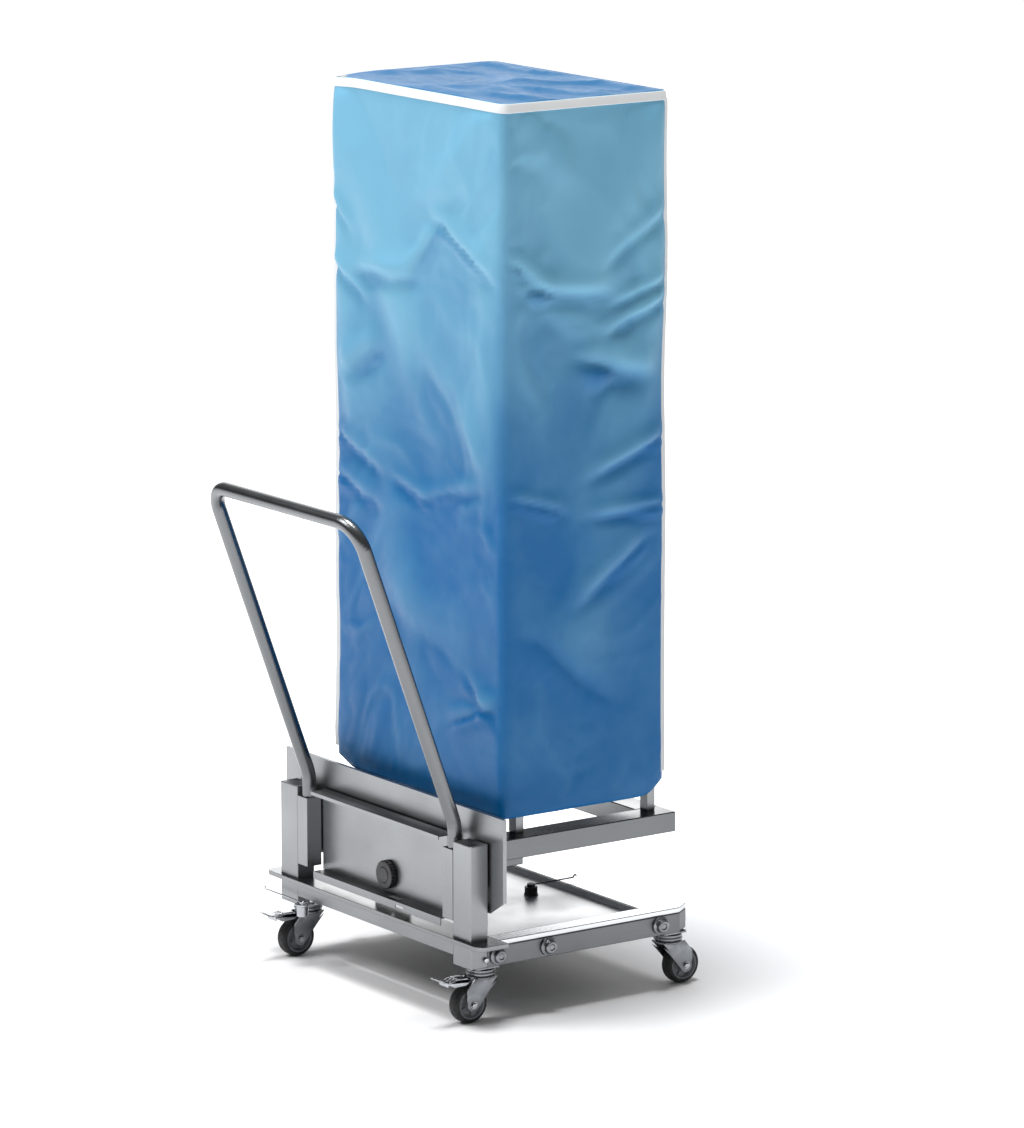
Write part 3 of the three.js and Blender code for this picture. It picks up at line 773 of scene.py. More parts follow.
handle_low, handle_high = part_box("push_handle")
tube = 0.014  # half the tube's diameter
tube_sides = 40
leg_x, leg_y = handle_high.x - tube, handle_high.y - tube
bar_y, bar_z = handle_low.y + tube, handle_high.z - tube
knee_z = 0.378  # where the upright part of a leg meets the slanted part
knee_radius, corner_radius = 0.090, 0.055
slope = math.atan2(leg_y - bar_y, bar_z - knee_z)
knee_reach = knee_radius * math.tan(slope / 2)
slant = math.hypot(leg_y - bar_y, bar_z - knee_z)
knee_axis = Vector((1, 0, 0))
bar_axis = Vector((0, -math.cos(slope), -math.sin(slope)))
# The handle tube gets a darker copy of the steel colour: painted shade.
polished_tube_painted_darker = brushed_steel("polished_stainless_tube_painted_darker", "747678", 0.27, "z", 0.00001)
handle = bmesh.new()
sweep(
    handle,
    Vector((leg_x, leg_y, handle_low.z)),
    Vector((0, 0, 1)),
    tube,
    [
        ("run", knee_z - knee_reach - handle_low.z),
        ("turn", knee_axis, math.degrees(slope), knee_radius),
        ("run", slant - knee_reach - corner_radius),
        ("turn", bar_axis, 90, corner_radius),
        ("run", 2 * (leg_x - corner_radius)),
        ("turn", bar_axis, 90, corner_radius),
        ("run", slant - knee_reach - corner_radius),
        ("turn", knee_axis, -math.degrees(slope), knee_radius),
        ("run", knee_z - knee_reach - handle_low.z),
    ],
    tube_sides,
)
closed_up(handle)
place_piece("push_handle_tube", handle, polished_tube_painted_darker, "handle", ["push_handle"])

# ---------------------------------------------------------------------------
# Carriage: back plate, two arms and a cross member, with nylon guide shoes on the posts.
# The plate is 3 mm stainless sheet with turned edges; the arms and cross member are box section,
# polished on top, where the rack's feet stand.
eased("carriage_plate", "carriage", satin_along["x"], sheet_edge, 2)
# The arms get a darker copy of the polished steel colour: painted shade.
arm_steel_painted_darker = brushed_steel("polished_stainless_arm_painted_darker", "6C6E70", 0.24, "y")
for side in ("right", "left"):
    eased("carriage_arm_" + side, "carriage", arm_steel_painted_darker, box_edge)
    eased("guide_shoe_" + side, "base", black_plastic, sheet_edge, 2)
# The cross member takes the darker polished copy: painted shade.
eased("arm_cross_member", "carriage", polished_along["x"], box_edge)

# ---------------------------------------------------------------------------
# Height clamp: a moulded black knob on a screw, and its nut behind the plate.
# The knob is a thin disc with small finger flutes, a rounded rim and a slightly raised cap.
knob_low, knob_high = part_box("clamp_knob")
knob_centre = Vector(((knob_low.x + knob_high.x) / 2, 0, (knob_low.z + knob_high.z) / 2))
knob_radius = (knob_high.x - knob_low.x) / 2
knob_face, knob_dish = knob_low.y + 0.002, knob_low.y + 0.0006
knob_back = knob_face + 0.0118
flute_count, flute_depth = 20, 0.0009
knob = bmesh.new()
disc = rounded_profile(
    [(0, knob_dish), (0.0148, knob_dish), (0.0165, knob_face), (knob_radius * 0.97, knob_face)]
    + [(knob_radius, knob_face + 0.004), (knob_radius, knob_back), (0, knob_back)],
    0.0022,
    5,
)
turn(knob, disc, "y", knob_centre, 160)
for vertex in knob.verts:
    spoke = Vector((vertex.co.x - knob_centre.x, 0, vertex.co.z - knob_centre.z))
    if spoke.length > knob_radius * 0.9:
        flute = max(0.0, math.cos(flute_count * math.atan2(spoke.z, spoke.x))) ** 2
        vertex.co -= spoke.normalized() * flute_depth * flute
screw_end, screw_radius = knob_high.y, 0.0042
turn(
    knob,
    [(0, knob_back + 0.0001), (screw_radius, knob_back + 0.0001)]
    + [(screw_radius, screw_end - 0.001), (screw_radius - 0.0008, screw_end), (0, screw_end)],
    "y",
    knob_centre,
    32,
)
closed_up(knob)
place_piece("clamp_knob_moulding", knob, black_plastic, "clamp", ["clamp_knob"])
nut_edge = 0.0012
eased("clamp_nut", "base", zinc, nut_edge, 2)

# ---------------------------------------------------------------------------
# Four swivel casters, two of them braked.
# Zinc-plated pressings: a square top plate with a ball-race housing, a fork of two cheeks under a
# round crown, a grey nylon wheel centre and a black rubber tyre on a bolted axle. The tyre is matt
# black with dull scuffs.
scuff_size = 1 / 220
rubber, rubber_tree, rubber_shader = new_material(
    "black_tyre_rubber", {"Base Color": linear("141517"), "Roughness": 0.62, "IOR": 1.52}
)
rubber_place = add_node(rubber_tree, "ShaderNodeTexCoord")
scuffs = add_node(
    rubber_tree,
    "ShaderNodeTexNoise",
    {"Scale": 1 / scuff_size, "Detail": 4.0},
    {"Vector": rubber_place.outputs["Object"]},
)
scuff_gloss = add_node(
    rubber_tree,
    "ShaderNodeMapRange",
    {"From Min": 0.35, "From Max": 0.65, "To Min": 0.5, "To Max": 0.75},
    {"Value": scuffs.outputs[0]},
)
scuff_bump = add_node(
    rubber_tree,
    "ShaderNodeBump",
    {"Strength": 0.3, "Distance": 0.0001},
    {"Height": scuffs.outputs[0]},
)
rubber_tree.links.new(rubber_shader.inputs["Roughness"], scuff_gloss.outputs[0])
rubber_tree.links.new(rubber_shader.inputs["Normal"], scuff_bump.outputs["Normal"])
grey_plastic = moulded_plastic("grey_nylon", "63666A", 0.38)

wheel_radius, wheel_half = 0.0375, 0.0155  # half is half the width over the hub
trail = 0.030  # how far the axle stands behind the swivel's axis
cheek_inner, cheek_outer = 0.0175, 0.0203
wheel_at = (0, -trail, wheel_radius)
head_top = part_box("handle_caster_left_swivel_head")[1].z
head_plate, plate_half, plate_corner = 0.003, 0.0279, 0.006


def flat_bar(bm, outline_yz, x0, x1, softness):
    """A side outline of (y, z) points in metres, cut from sheet and given rounded edges."""
    corners = [bm.verts.new((x0, y, z)) for y, z in outline_yz]
    face = bmesh.ops.contextual_create(bm, geom=corners)["faces"][0]
    made = bmesh.ops.extrude_face_region(bm, geom=[face])["geom"]
    moved = [g for g in made if isinstance(g, bmesh.types.BMVert)]
    bmesh.ops.translate(bm, vec=(x1 - x0, 0, 0), verts=moved)
    around = edges_of(corners + moved)
    soften(bm, [e for e in around if abs(e.verts[0].co.x - e.verts[1].co.x) < 1e-6], softness)


def arc_points(centre, radius, start, end, steps):
    """Points on an arc, from one angle to another in degrees."""
    angles = [math.radians(start + (end - start) * i / steps) for i in range(steps + 1)]
    return [(centre[0] + radius * math.cos(a), centre[1] + radius * math.sin(a)) for a in angles]


def swivel_head(bm):
    """The bolted top plate, with the ball-race housing pressed out of it."""
    plate = block(
        bm, (-plate_half, -plate_half, head_top - head_plate), (plate_half, plate_half, head_top)
    )
    soften(bm, upright_edges(plate), plate_corner, 4)
    turn(
        bm,
        rounded_profile(
            [mm(0, 91.4), mm(25, 91.4), mm(25, 93.0), mm(28.6, 93.0), mm(28.6, 97.2)]
            + [mm(26.4, 98.2), mm(27.6, 99.2), mm(27.6, 103.4), mm(22, 105.2)]
            + [mm(21, 106.6), mm(0, 106.6)],
            0.0009,
        ),
        "z",
        (0, 0, 0),
        64,
    )


def caster_fork(bm):
    """Two cheeks, each with a pressed lip along its back edge, under a round crown."""
    back_edge = [mm(-27, 88.4), mm(-45, 67), mm(-45.4, 50)]
    axle_end, cheek_softness = 0.0138, 0.0009
    cheek = (
        back_edge
        + arc_points((-trail, wheel_radius), axle_end, 165, 338, 12)
        + [mm(6, 60), mm(11, 72), mm(25, 81), mm(26, 88.4)]
    )
    lip = back_edge + [mm(-42.6, 50), mm(-42.2, 66), mm(-24, 88.4)]
    lip_thickness, lip_softness = 0.0012, 0.0004
    for sign in (-1, 1):
        flat_bar(bm, cheek, sign * cheek_inner, sign * cheek_outer, cheek_softness)
        flat_bar(bm, lip, sign * (cheek_inner - lip_thickness), sign * cheek_inner, lip_softness)
    turn(
        bm,
        rounded_profile(
            [mm(0, 84.6), mm(25.4, 84.6), mm(27.8, 86.2), mm(27.8, 89.4)]
            + [mm(25.5, 90.9), mm(0, 90.9)],
            0.0012,
        ),
        "z",
        (0, 0, 0),
        64,
    )


def wheel_centre(bm):
    """A dished disc about a hub, with five shallow pockets on each side."""
    half, rim, tyre_step = wheel_half, 0.0291, 0.0012
    side = [mm(12.4, 0), mm(13.2, 5.2), mm(23.6, 4.6), mm(25.6, 1.6)]
    face = [(r, half - d) for r, d in side] + [(rim, half - tyre_step)]
    profile = [(0.0052, half)] + face
    profile = profile + [(r, -x) for r, x in reversed(profile)]
    turn(bm, rounded_profile(profile, 0.0006, 2), "x", wheel_at, 60)
    closed_up(bm)
    pocket_count, pocket_depth, pocket_wall = 5, 0.0026, 0.0008
    pocket_inner, pocket_outer = 0.014, 0.0232
    rib_share = 0.22  # of a pocket's part of the circle, at each end of it
    pockets = [[] for _ in range(pocket_count)]
    for f in bm.faces:
        spoke = f.calc_center_median() - Vector(wheel_at)
        in_band = pocket_inner < math.hypot(spoke.y, spoke.z) < pocket_outer
        whole, part = divmod(math.atan2(spoke.z, spoke.y) / math.tau * pocket_count, 1)
        if in_band and abs(f.normal.x) > 0.9 and rib_share < part < 1 - rib_share:
            pockets[int(whole) % pocket_count].append(f)
    for group in pockets:
        for sign in (1, -1):
            faces = [f for f in group if f.is_valid and f.normal.x * sign > 0]
            if faces:
                bmesh.ops.inset_region(bm, faces=faces, thickness=pocket_wall, depth=0)
                moved = list(dict.fromkeys(v for f in faces for v in f.verts))
                bmesh.ops.translate(bm, vec=(-sign * pocket_depth, 0, 0), verts=moved)


def tyre_ring(bm):
    """A solid tyre, flat across the middle of its tread."""
    half = wheel_half - 0.0012
    shoulder = [
        (0.0294, half),
        (0.0322, half),
        (0.0352, half - 0.0018),
        (0.0369, half - 0.0052),
        (wheel_radius, half - 0.0095),
    ]
    profile = shoulder + [(r, -x) for r, x in reversed(shoulder)]
    turn(bm, rounded_profile(profile, 0.0016, 3), "x", wheel_at, 96)


def axle_bolt(bm):
    """The axle, with a washer and a hexagon head at each end."""
    axle_radius, washer_radius, washer_thickness = 0.0044, 0.0074, 0.0013
    head_flats, head_thickness = 0.0108, 0.0034
    reach = cheek_outer + 0.0004
    head_middle = reach + 0.0026
    axle = [(0, -reach), (axle_radius, -reach), (axle_radius, reach), (0, reach)]
    turn(bm, axle, "x", wheel_at, 24)
    bore, out = axle_radius + 0.0001, reach + washer_thickness
    washer = [(bore, reach), (washer_radius, reach), (washer_radius, out), (bore, out)]
    for sign in (1, -1):
        turn(bm, [(r, x * sign) for r, x in washer], "x", wheel_at, 40)
    for sign in (1, -1):
        place = Matrix.Translation((sign * head_middle, -trail, wheel_radius))
        hex_head(bm, head_flats, head_thickness, place @ lying_across)


def brake_pedal(bm):
    """A pressed tread with a turned-up toe and three grip bars, and two side webs to the pivot."""
    half, toe_half, web, tread_thickness = 0.0148, 0.0075, 0.0020, 0.0021
    top = [mm(-23, 83.6), mm(-34, 84), mm(-40.5, 91.6), mm(-62, 92.6), mm(-85, 87.6)]
    under = [(y - 0.0003, z - tread_thickness) for y, z in reversed(top)]
    flat_bar(bm, top + under, -half, half, 0.0005)
    toe = [mm(-83, 88), mm(-97, 92.6), mm(-109, 99.6), mm(-112, 99.2)]
    toe = toe + [mm(-111, 96.6), mm(-98, 89.8), mm(-84, 85.6)]
    flat_bar(bm, toe, -toe_half, toe_half, 0.0006)
    lip = [mm(-83, 87.8), mm(-86.4, 87.6), mm(-86.4, 80), mm(-84.4, 80)]
    flat_bar(bm, lip, -half, half, 0.0005)
    side = [mm(-23, 82), mm(-34, 82.4), mm(-41, 90), mm(-62, 91), mm(-84, 86)]
    side = side + [mm(-84, 84), mm(-70, 77), mm(-46, 77.6), mm(-23, 78)]
    for sign in (1, -1):
        flat_bar(bm, side, sign * (half - web), sign * half, 0.0004)
    pin, pin_half, pin_at = 0.0023, 0.0171, (0, -0.028, 0.0802)
    turn(bm, [(0, -pin_half), (pin, -pin_half), (pin, pin_half), (0, pin_half)], "x", pin_at, 20)
    grip = [mm(-66, 92.7), mm(-79, 89.8), mm(-79, 91.0), mm(-66, 93.9)]
    grip_half, grip_pitch = 0.0018, 0.0085
    for number in (-1, 0, 1):
        middle = number * grip_pitch
        flat_bar(bm, grip, middle - grip_half, middle + grip_half, 0.0004)


for end, heading in (("handle", 0.0), ("load", math.pi)):
    for side in ("left", "right"):
        name = "%s_caster_%s" % (end, side)
        low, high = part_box(name + "_swivel_head")
        middle = Matrix.Translation(((low.x + high.x) / 2, (low.y + high.y) / 2, 0))
        stand = middle @ Matrix.Rotation(heading, 4, "Z")
        fork, wheel, brake = name + "_fork", name + "_wheel", name + "_brake"
        parts = [
            ("swivel_head", "base", zinc, "zinc_plated_steel", swivel_head),
            ("fork", fork, zinc, "zinc_plated_steel", caster_fork),
            ("axle", fork, bright_zinc, "zinc_plated_steel", axle_bolt),
            ("wheel_core", wheel, grey_plastic, "grey_plastic", wheel_centre),
            ("tyre", wheel, rubber, "black_rubber", tyre_ring),
        ]
        if end == "handle":
            parts.append(("brake_pedal", brake, bright_zinc, "zinc_plated_steel", brake_pedal))
        for part, body, material, slot_name, build in parts:
            bm = bmesh.new()
            build(bm)
            closed_up(bm)
            bmesh.ops.transform(bm, matrix=stand, verts=bm.verts)
            node = name + "_" + part
            place_piece(node + "_made", bm, material, body, [node])

# ---------------------------------------------------------------------------
# Rack: four square-tube legs, rings, runners and the top bow, with four folded shelves.
# Stainless tube and sheet, welded and dull-polished. Only the feet show below the cover until it is
# lifted off.
leg_edge, shelf_edge = 0.0016, 0.0005
eased("rack_frame", "rack", satin_along["z"], leg_edge, 2)
for number in (1, 2, 3, 4):
    eased("shelf_%d" % number, "rack", satin_along["x"], shelf_edge, 2)

# ---------------------------------------------------------------------------
# Cover: a top panel and four walls sewn from coated cloth, open below, pulled down over the rack.
# The cloth is a light polyester with a blue coating: slightly glossy, stiff enough to crease
# sharply, drawn tight at the upper corners and slack lower down.
cover_low, cover_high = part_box("cover")
cell = 0.0085
half_x, half_y = (cover_high.x - cover_low.x) / 2, (cover_high.y - cover_low.y) / 2
mid_y = (cover_high.y + cover_low.y) / 2
tall = cover_high.z - cover_low.z
corner_round = 0.016
hem_height = 0.024
drape_seed = 1795037056  # any fixed number: the cloth then hangs the same way every time
noise.seed_set(drape_seed)

# Creases on a wall: the (across, height) of each end in metres, then the depth and the width of the
# fold. A crease is a ridge along its upper side and a hollow along its lower side.
handle_wall_creases = [
    ((-0.01, 1.40), (0.085, 1.50), 0.011, 0.020),
    ((0.07, 1.51), (0.25, 1.42), 0.012, 0.022),
    ((-0.20, 1.38), (0.00, 1.39), 0.012, 0.022),
    ((-0.29, 1.53), (-0.22, 1.46), 0.008, 0.014),
    ((-0.29, 1.40), (-0.17, 1.33), 0.009, 0.018),
    ((-0.23, 1.18), (-0.12, 1.24), 0.013, 0.030),
    ((-0.28, 1.05), (-0.12, 1.00), 0.007, 0.018),
    ((-0.29, 0.97), (-0.13, 0.93), 0.007, 0.020),
    ((-0.07, 0.99), (0.05, 0.955), 0.007, 0.016),
    ((0.03, 0.965), (0.21, 1.01), 0.006, 0.016),
    ((0.12, 0.54), (0.28, 0.60), 0.010, 0.020),
    ((0.17, 0.63), (0.28, 0.55), 0.007, 0.022),
    ((0.02, 1.25), (0.24, 1.02), 0.006, 0.050),
    ((-0.18, 0.80), (0.12, 0.66), 0.006, 0.060),
]
right_wall_creases = [
    ((-0.19, 1.46), (-0.09, 1.39), 0.009, 0.018),
    ((-0.15, 1.395), (0.05, 1.375), 0.012, 0.022),
    ((0.05, 1.30), (0.19, 1.36), 0.010, 0.018),
    ((0.06, 1.35), (0.19, 1.40), 0.008, 0.014),
    ((-0.01, 1.245), (0.14, 1.215), 0.014, 0.034),
    ((0.05, 1.44), (0.19, 1.53), 0.007, 0.018),
    ((0.02, 1.03), (0.19, 1.09), 0.009, 0.018),
    ((0.02, 0.95), (0.19, 0.95), 0.008, 0.016),
    ((-0.01, 0.79), (0.14, 0.89), 0.008, 0.024),
    ((-0.18, 1.00), (-0.06, 0.965), 0.007, 0.016),
    ((-0.13, 0.73), (0.06, 0.58), 0.006, 0.050),
]
# Broad, rounded pulls that fan out below the upper corners.
handle_wall_pulls = [
    ((-0.275, 1.73), (0.00, 1.24), 0.016, 0.060),
    ((-0.27, 1.73), (-0.21, 1.00), 0.010, 0.042),
    ((0.25, 1.74), (0.06, 1.55), 0.012, 0.040),
    ((-0.20, 1.30), (0.02, 0.60), 0.008, 0.070),
    ((0.26, 1.50), (0.19, 0.95), 0.008, 0.050),
]
right_wall_pulls = [
    ((0.175, 1.73), (-0.03, 1.38), 0.016, 0.055),
    ((0.175, 1.73), (0.13, 1.10), 0.009, 0.036),
    ((-0.16, 1.74), (-0.04, 1.60), 0.009, 0.035),
    ((0.11, 1.30), (-0.02, 0.62), 0.008, 0.055),
]


def fold(across, height, crease, swelling=False):
    """How far one crease, or one rounded pull, lifts the cloth at a place on the wall."""
    start, end, depth, width = crease
    run = Vector(end) - Vector(start)
    offset = Vector((across, height)) - Vector(start)
    part = offset.dot(run) / run.length_squared
    side = offset.dot(Vector((-run.y, run.x)).normalized()) / width
    widths_reached, full_from, full_to, end_fade = 4, 0.25, 0.75, 0.28
    if abs(side) > widths_reached or not -0.5 < part < 1.5:
        return 0.0
    fade = math.exp(-((max(full_from - part, part - full_to, 0) / end_fade) ** 2))
    if swelling:
        return depth * fade * math.exp(-side * side)
    # The hollow is steep towards the ridge and shallow below it: the two halves meet at one depth.
    lower_half, upper_half = side * 1.3 + 0.5, side * 1.9 + 0.73
    hollow = math.exp(-((lower_half if side < -0.385 else upper_half) ** 2))
    ridge = 0.75 * math.exp(-((side - 0.75) ** 2))
    return depth * fade * (ridge - hollow)


def crumple(across, height, seed):
    """Sharp, branching creases in clusters, as stiff coated cloth keeps them after folding."""
    broad_depth, small_depth = 0.0075, 0.0028
    place = Vector((across * 3.1 + seed, height * 2.6 - seed, seed * 1.7))
    warp = noise.noise_vector(place * 1.4) * 0.35
    crowding = 0.5 + 2.2 * noise.noise(place * 0.8 + Vector((7, 3, 1)))
    cluster = 0.35 + 0.65 * min(1, max(0, crowding))
    broad = 1 - abs(noise.noise((place + warp) * 1.9))
    small = 1 - abs(noise.noise((place + warp * 2) * 4.6 + Vector((4, 9, 2))))
    return cluster * (broad_depth * (broad**3 - 0.5) + small_depth * (small**3 - 0.5))


def slack(across, height, creases, pulls, seed):
    """The wall's whole departure from flat: creases, pulls and the cloth's own unevenness."""
    total = sum(fold(across, height, c) for c in creases)
    total += sum(fold(across, height, p, True) for p in pulls)
    return total + crumple(across, height, seed)


def corner_share(to_x_corner, to_y_corner, reach):
    """1 at a corner of the cover and nearly 0 beyond a reach from it."""
    return math.exp(-((to_x_corner / reach) ** 2 + (to_y_corner / reach) ** 2))


def top_ripple(x, y, to_x_corner, to_y_corner):
    """How far the top panel stands up or hangs down between its edges."""
    edge_width = 0.05
    inset = min(1.0, to_x_corner / edge_width) * min(1.0, to_y_corner / edge_width)
    ripple = noise.noise(Vector((x * 4 + y * 3, y * 16, 3.1)))
    sharp = 1 - abs(noise.noise(Vector((x * 5 - y * 2, y * 12, 8.4))))
    return inset * (0.008 * ripple + 0.010 * (sharp**4 - 0.40))


def draped(co):
    """Where a point of the plain box hangs, and how far the cloth there stands proud."""
    lift = 0.0
    x, y, z = co.x, co.y - mid_y, co.z
    from_top, from_hem = cover_high.z - z, z - cover_low.z
    on_x_wall, on_y_wall = abs(x) > half_x - 1e-5, abs(y) > half_y - 1e-5
    to_x_corner, to_y_corner = half_x - abs(x), half_y - abs(y)

    # The corners are rounded.
    past = Vector((max(corner_round - to_x_corner, 0), max(corner_round - to_y_corner, 0)))
    if min(past) > 0 and past.length > corner_round:
        past = past.normalized() * corner_round
        x = math.copysign(half_x - corner_round + past.x, x)
        y = math.copysign(half_y - corner_round + past.y, y)

    # The walls crease, bow out a little halfway down, and are double at the hem.
    hem = min(1.0, from_hem / 0.05)
    shaping = (0.3 + 0.7 * hem) * min(1.0, from_top / 0.035)
    bow = 0.003 * math.sin(math.pi * min(from_top / tall, 1)) - 0.002
    doubled = 0.0012 * (z < cover_low.z + hem_height)
    crease_ends = 0.028  # creases die out this near to a corner
    if on_y_wall:
        lists = (handle_wall_creases, handle_wall_pulls, 1.0)
        if y > 0:
            lists = (right_wall_creases, handle_wall_pulls, 4.0)
        near_edge = min(1.0, to_x_corner / crease_ends)
        lift = near_edge * shaping * slack(x, z, *lists)
        y += math.copysign(lift + near_edge * (shaping * bow + doubled), y)
    if on_x_wall:
        lists = (right_wall_creases, right_wall_pulls, 2.0)
        if x < 0:
            lists = (handle_wall_creases, right_wall_pulls, 5.0)
        near_edge = min(1.0, to_y_corner / crease_ends)
        lift = near_edge * shaping * slack(y, z, *lists)
        x += math.copysign(lift + near_edge * (shaping * bow + doubled), x)

    # Just under the top the walls turn in to the seam, and the top panel itself ripples.
    if on_x_wall or on_y_wall:
        tuck = 0.0022 * max(0.0, 1 - from_top / 0.020)
        x -= math.copysign(tuck, x) * on_x_wall
        y -= math.copysign(tuck, y) * on_y_wall
    else:
        lift = top_ripple(x, y, to_x_corner, to_y_corner)
        lowest_sag = -0.0008  # the rack's bow is close under the cloth
        z += max(lift, lowest_sag) + 0.0012 * lift

    # The whole hangs a little askew, and its hem is drawn up at two corners.
    wander = noise.noise_vector(Vector((x * 1.6 + 2, y * 1.6, z * 3.4)))
    ease = 0.0045 * min(1.0, from_top / 0.12) * hem
    x, y = x + wander.x * ease, y + wander.y * ease
    left_front = corner_share(to_x_corner, to_y_corner, 0.05) * (co.x < 0 and co.y < mid_y)
    right_back = corner_share(to_x_corner, to_y_corner, 0.03) * (co.x > 0 and co.y > mid_y)
    z -= 0.005 * left_front * max(0.0, 1 - from_top / 0.15)
    drawn_up = 0.030 * right_back + 0.022 * left_front
    z += drawn_up * max(0.0, 1 - (z - cover_low.z) / 0.15)
    return Vector((x, y + mid_y, z)), lift


cloth = bmesh.new()
bmesh.ops.create_grid(
    cloth, x_segments=round(2 * half_x / cell), y_segments=round(2 * half_y / cell), size=1
)
bmesh.ops.transform(
    cloth,
    matrix=Matrix.Translation((0, mid_y, cover_high.z)) @ Matrix.Diagonal((half_x, half_y, 1, 1)),
    verts=cloth.verts,
)
rows = round(tall / cell)
edge_loop = [e for e in cloth.edges if e.is_boundary]
for _ in range(rows):
    made = bmesh.ops.extrude_edge_only(cloth, edges=edge_loop)["geom"]
    edge_loop = [g for g in made if isinstance(g, bmesh.types.BMEdge)]
    moved = [g for g in made if isinstance(g, bmesh.types.BMVert)]
    bmesh.ops.translate(cloth, vec=(0, 0, -tall / rows), verts=moved)
painted_fold_shading = cloth.verts.layers.float.new("painted_fold_shading")
full_lift = 0.014  # cloth this proud of the wall gets the palest painted light
for vertex in cloth.verts:
    vertex.co, lift = draped(vertex.co)
    vertex[painted_fold_shading] = min(1.0, max(0.0, 0.5 + 0.5 * lift / full_lift))
bmesh.ops.recalc_face_normals(cloth, faces=cloth.faces)

thread_pitch = 0.0012  # real threads are about 0.3 mm apart: drawn coarser so that they show
wave_period = 6.28  # a wave pattern's own period
# The cloth's colour varies in random patches about 170 mm across; its crinkles are about 26 mm
# across.
tone_patch, crinkle_size = 1 / 6, 1 / 38
deep_below = 0.30  # the part of the wall's height, from the hem, that keeps the full deep colour


def coated_cloth(name, hex_light, hex_deep, roughness, thread, fold_shading_contrast=0.0):
    """Coated polyester: a plain weave under a thin glossy skin, with painted light on its ridges
    and towards the top, and painted shade in its hollows.
    """
    material, tree, shader = new_material(
        name,
        {
            "Base Color": linear(hex_light),
            "Roughness": roughness,
            "IOR": 1.42,
            "Specular IOR Level": 0.32,
            "Sheen Weight": 0.02,
            "Sheen Roughness": 0.4,
        },
    )
    place = add_node(tree, "ShaderNodeTexCoord")
    patches = add_node(
        tree,
        "ShaderNodeTexNoise",
        {"Scale": 1 / tone_patch, "Detail": 4.0},
        {"Vector": place.outputs["Object"]},
    )
    height = add_node(tree, "ShaderNodeSeparateXYZ", links={0: place.outputs["Object"]})
    # Painted light: the colour turns paler towards the top of the cover and keeps the full deep
    # colour low down.
    painted_light_towards_top = add_node(
        tree,
        "ShaderNodeMapRange",
        {
            "interpolation_type": "SMOOTHSTEP",
            "From Min": cover_low.z + deep_below * tall,
            "From Max": cover_high.z,
            "To Min": 1.0,
            "To Max": 0.0,
        },
        {"Value": height.outputs["Z"]},
    )
    # Painted light and shade on the folds: cloth that stands proud is paler, cloth in a hollow
    # deeper in colour.
    ridges = add_node(tree, "ShaderNodeAttribute", {"attribute_name": "painted_fold_shading"})
    painted_light_and_shade = add_node(
        tree,
        "ShaderNodeMath",
        {"operation": "MULTIPLY_ADD", 1: -fold_shading_contrast},
        {0: ridges.outputs["Fac"], 2: painted_light_towards_top.outputs[0]},
    )
    uneven = add_node(
        tree,
        "ShaderNodeMath",
        {"operation": "MULTIPLY_ADD", 1: 0.5},
        {0: patches.outputs[0], 2: painted_light_and_shade.outputs["Value"]},
    )
    shifted = add_node(
        tree,
        "ShaderNodeMath",
        {"operation": "SUBTRACT", 1: 0.25 - fold_shading_contrast / 2, "use_clamp": True},
        {0: uneven.outputs[0]},
    )
    tone = add_node(
        tree,
        "ShaderNodeMix",
        {"data_type": "RGBA", 6: linear(hex_light), 7: linear(hex_deep)},
        {0: shifted.outputs[0]},
    )
    threads = [
        add_node(
            tree,
            "ShaderNodeTexWave",
            {"Scale": 1 / thread / wave_period, "bands_direction": axis, "Distortion": 0.6},
            {"Vector": place.outputs["Object"]},
        )
        for axis in ("DIAGONAL", "Z")
    ]
    weave = add_node(
        tree,
        "ShaderNodeMath",
        {"operation": "MULTIPLY"},
        {0: threads[0].outputs["Fac"], 1: threads[1].outputs["Fac"]},
    )
    crinkle = add_node(
        tree,
        "ShaderNodeTexNoise",
        {"Scale": 1 / crinkle_size, "Detail": 5.0, "Roughness": 0.6},
        {"Vector": place.outputs["Object"]},
    )
    fine = add_node(
        tree,
        "ShaderNodeBump",
        {"Strength": 0.2, "Distance": thread * 0.1},
        {"Height": weave.outputs[0]},
    )
    broad = add_node(
        tree,
        "ShaderNodeBump",
        {"Strength": 0.35, "Distance": 0.0016},
        {"Height": crinkle.outputs[0], "Normal": fine.outputs["Normal"]},
    )
    gloss = add_node(
        tree,
        "ShaderNodeMapRange",
        {
            "From Min": noise_low,
            "From Max": noise_high,
            "To Min": roughness * 0.85,
            "To Max": roughness * 1.15,
        },
        {"Value": crinkle.outputs[0]},
    )
    tree.links.new(shader.inputs["Base Color"], tone.outputs[2])
    tree.links.new(shader.inputs["Roughness"], gloss.outputs[0])
    tree.links.new(shader.inputs["Normal"], broad.outputs["Normal"])
    return material


blue_cloth = coated_cloth(
    "blue_coated_polyester", "6FA9C6", "045F9A", 0.42, thread_pitch, fold_shading_contrast=0.75
)
# The top panel gets a darker copy of the cloth: painted shade against the overhead light that falls
# on it.
top_cloth_painted_darker = coated_cloth(
    "blue_coated_polyester_top_painted_darker", "195E8C", "0A375E", 0.5, thread_pitch, fold_shading_contrast=0.8
)
top_zone = cover_high.z - 0.03
for face in cloth.faces:
    on_top = face.normal.z > 0.7 and face.calc_center_median().z > top_zone
    face.material_index = int(on_top)
cover = place_piece("cover_cloth", cloth, blue_cloth, "cover", ["cover"], 180)
cover.data.materials.append(top_cloth_painted_darker)
thick = cover.modifiers.new("cloth_thickness", "SOLIDIFY")
thick.thickness = 0.0012
thick.offset = -1

# ---------------------------------------------------------------------------
# Binding: white tape folded over the seam round the top panel and down two corners.
# Woven polyester tape, matt and nearly white, 15 mm wide and sewn on, so it stands a little proud.
tape_thread = 0.0008
# Like the cloth, the tape is painted slightly paler towards the top.
white_tape = coated_cloth("white_binding_tape", "DDDFE0", "CFD2D4", 0.6, tape_thread)


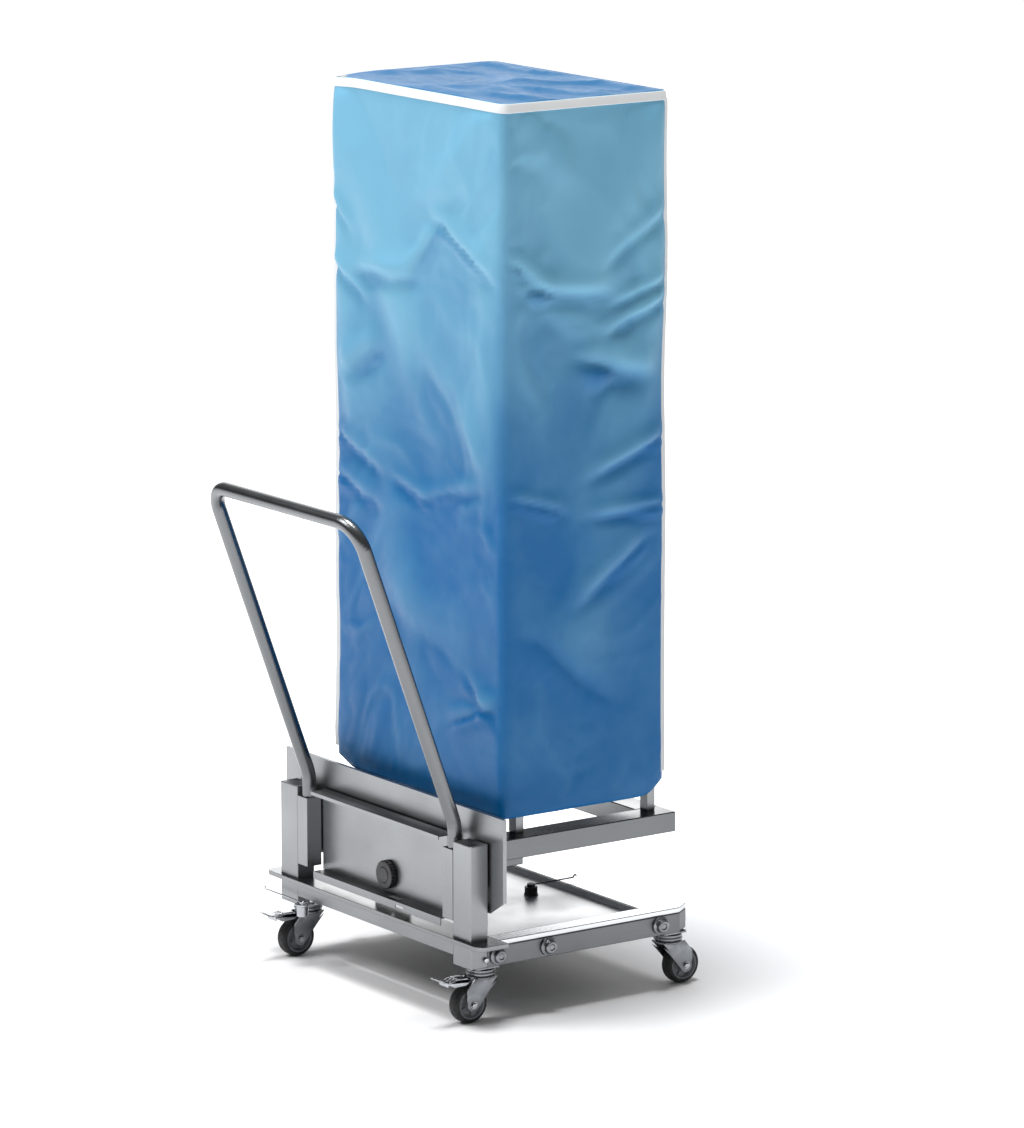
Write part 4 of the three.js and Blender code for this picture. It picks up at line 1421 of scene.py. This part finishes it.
def tape(name, path, outward, width, thickness, closed):
    """A rounded strip along a path: each point has an outward direction that the strip faces."""
    bm = bmesh.new()
    half = width / 2
    flat_section = [(-half, 0), (-half, thickness), (half, thickness), (half, 0)]
    section = rounded_profile(flat_section, 0.0016, 3)
    rings = []
    count = len(path)
    for i, (point, face) in enumerate(zip(path, outward)):
        before = path[i - 1 if closed or i else 0]
        after = path[(i + 1) % count if closed else min(i + 1, count - 1)]
        along = (after - before).normalized()
        broad = along.cross(face).normalized()
        rings.append([bm.verts.new(point + broad * u + face * v) for u, v in section])
    for ring, other in zip(rings, rings[1:] + ([rings[0]] if closed else [])):
        edges = [
            bm.edges.get(pair) or bm.edges.new(pair)
            for loop in (ring, other)
            for pair in zip(loop, loop[1:] + loop[:1])
        ]
        bmesh.ops.bridge_loops(bm, edges=edges)
    if not closed:
        for ring in (rings[0], rings[-1]):
            bmesh.ops.contextual_create(bm, geom=ring)
    closed_up(bm)
    return place_piece(name, bm, white_tape, "cover", crease=50)


def perimeter(steps=26):
    """Points round the box's four walls with the way each faces, corners included."""
    walk = []
    corners = [Vector((-1, -1, 0)), Vector((1, -1, 0)), Vector((1, 1, 0)), Vector((-1, 1, 0))]
    for start, end in zip(corners, corners[1:] + corners[:1]):
        face = (end - start).cross(Vector((0, 0, 0.5)))
        first = Vector((start.x * half_x, start.y * half_y, 0))
        last = Vector((end.x * half_x, end.y * half_y, 0))
        rounded = corner_round / (last - first).length
        walk.append((first, (face + start * 0.5).normalized()))
        shares = [rounded / 2, rounded]
        shares += [rounded + (1 - 2 * rounded) * i / steps for i in range(1, steps)]
        shares += [1 - rounded, 1 - rounded / 2]
        walk += [(first.lerp(last, share), face) for share in shares]
    return walk


tape_centre = cover_high.z - 0.0095
rim_tilt = Vector((0, 0, 0.16))  # the tape leans back over the edge
around = perimeter()
rim_path = [draped(Vector((p.x, p.y + mid_y, tape_centre)))[0] for p, face in around]
rim_out = [(face + rim_tilt).normalized() for p, face in around]
tape("top_binding", rim_path, rim_out, 0.0175, 0.0030, True)

corner_steps, corner_thickness = 110, 0.0024
corner_top, corner_length, sewn_in = tape_centre - 0.006, tall - 0.034, 0.0004
for name, (x, y), face, breadth in (
    ("left_corner_binding", (0.007 - half_x, -half_y), Vector((0, -1, 0)), 0.014),
    ("right_corner_binding", (half_x, half_y - 0.005), Vector((1, 0, 0)), 0.010),
):
    heights = [corner_top - corner_length * i / corner_steps for i in range(corner_steps + 1)]
    down = [draped(Vector((x, mid_y + y, z)))[0] - face * sewn_in for z in heights]
    tape(name, down, [face] * len(down), breadth, corner_thickness, False)
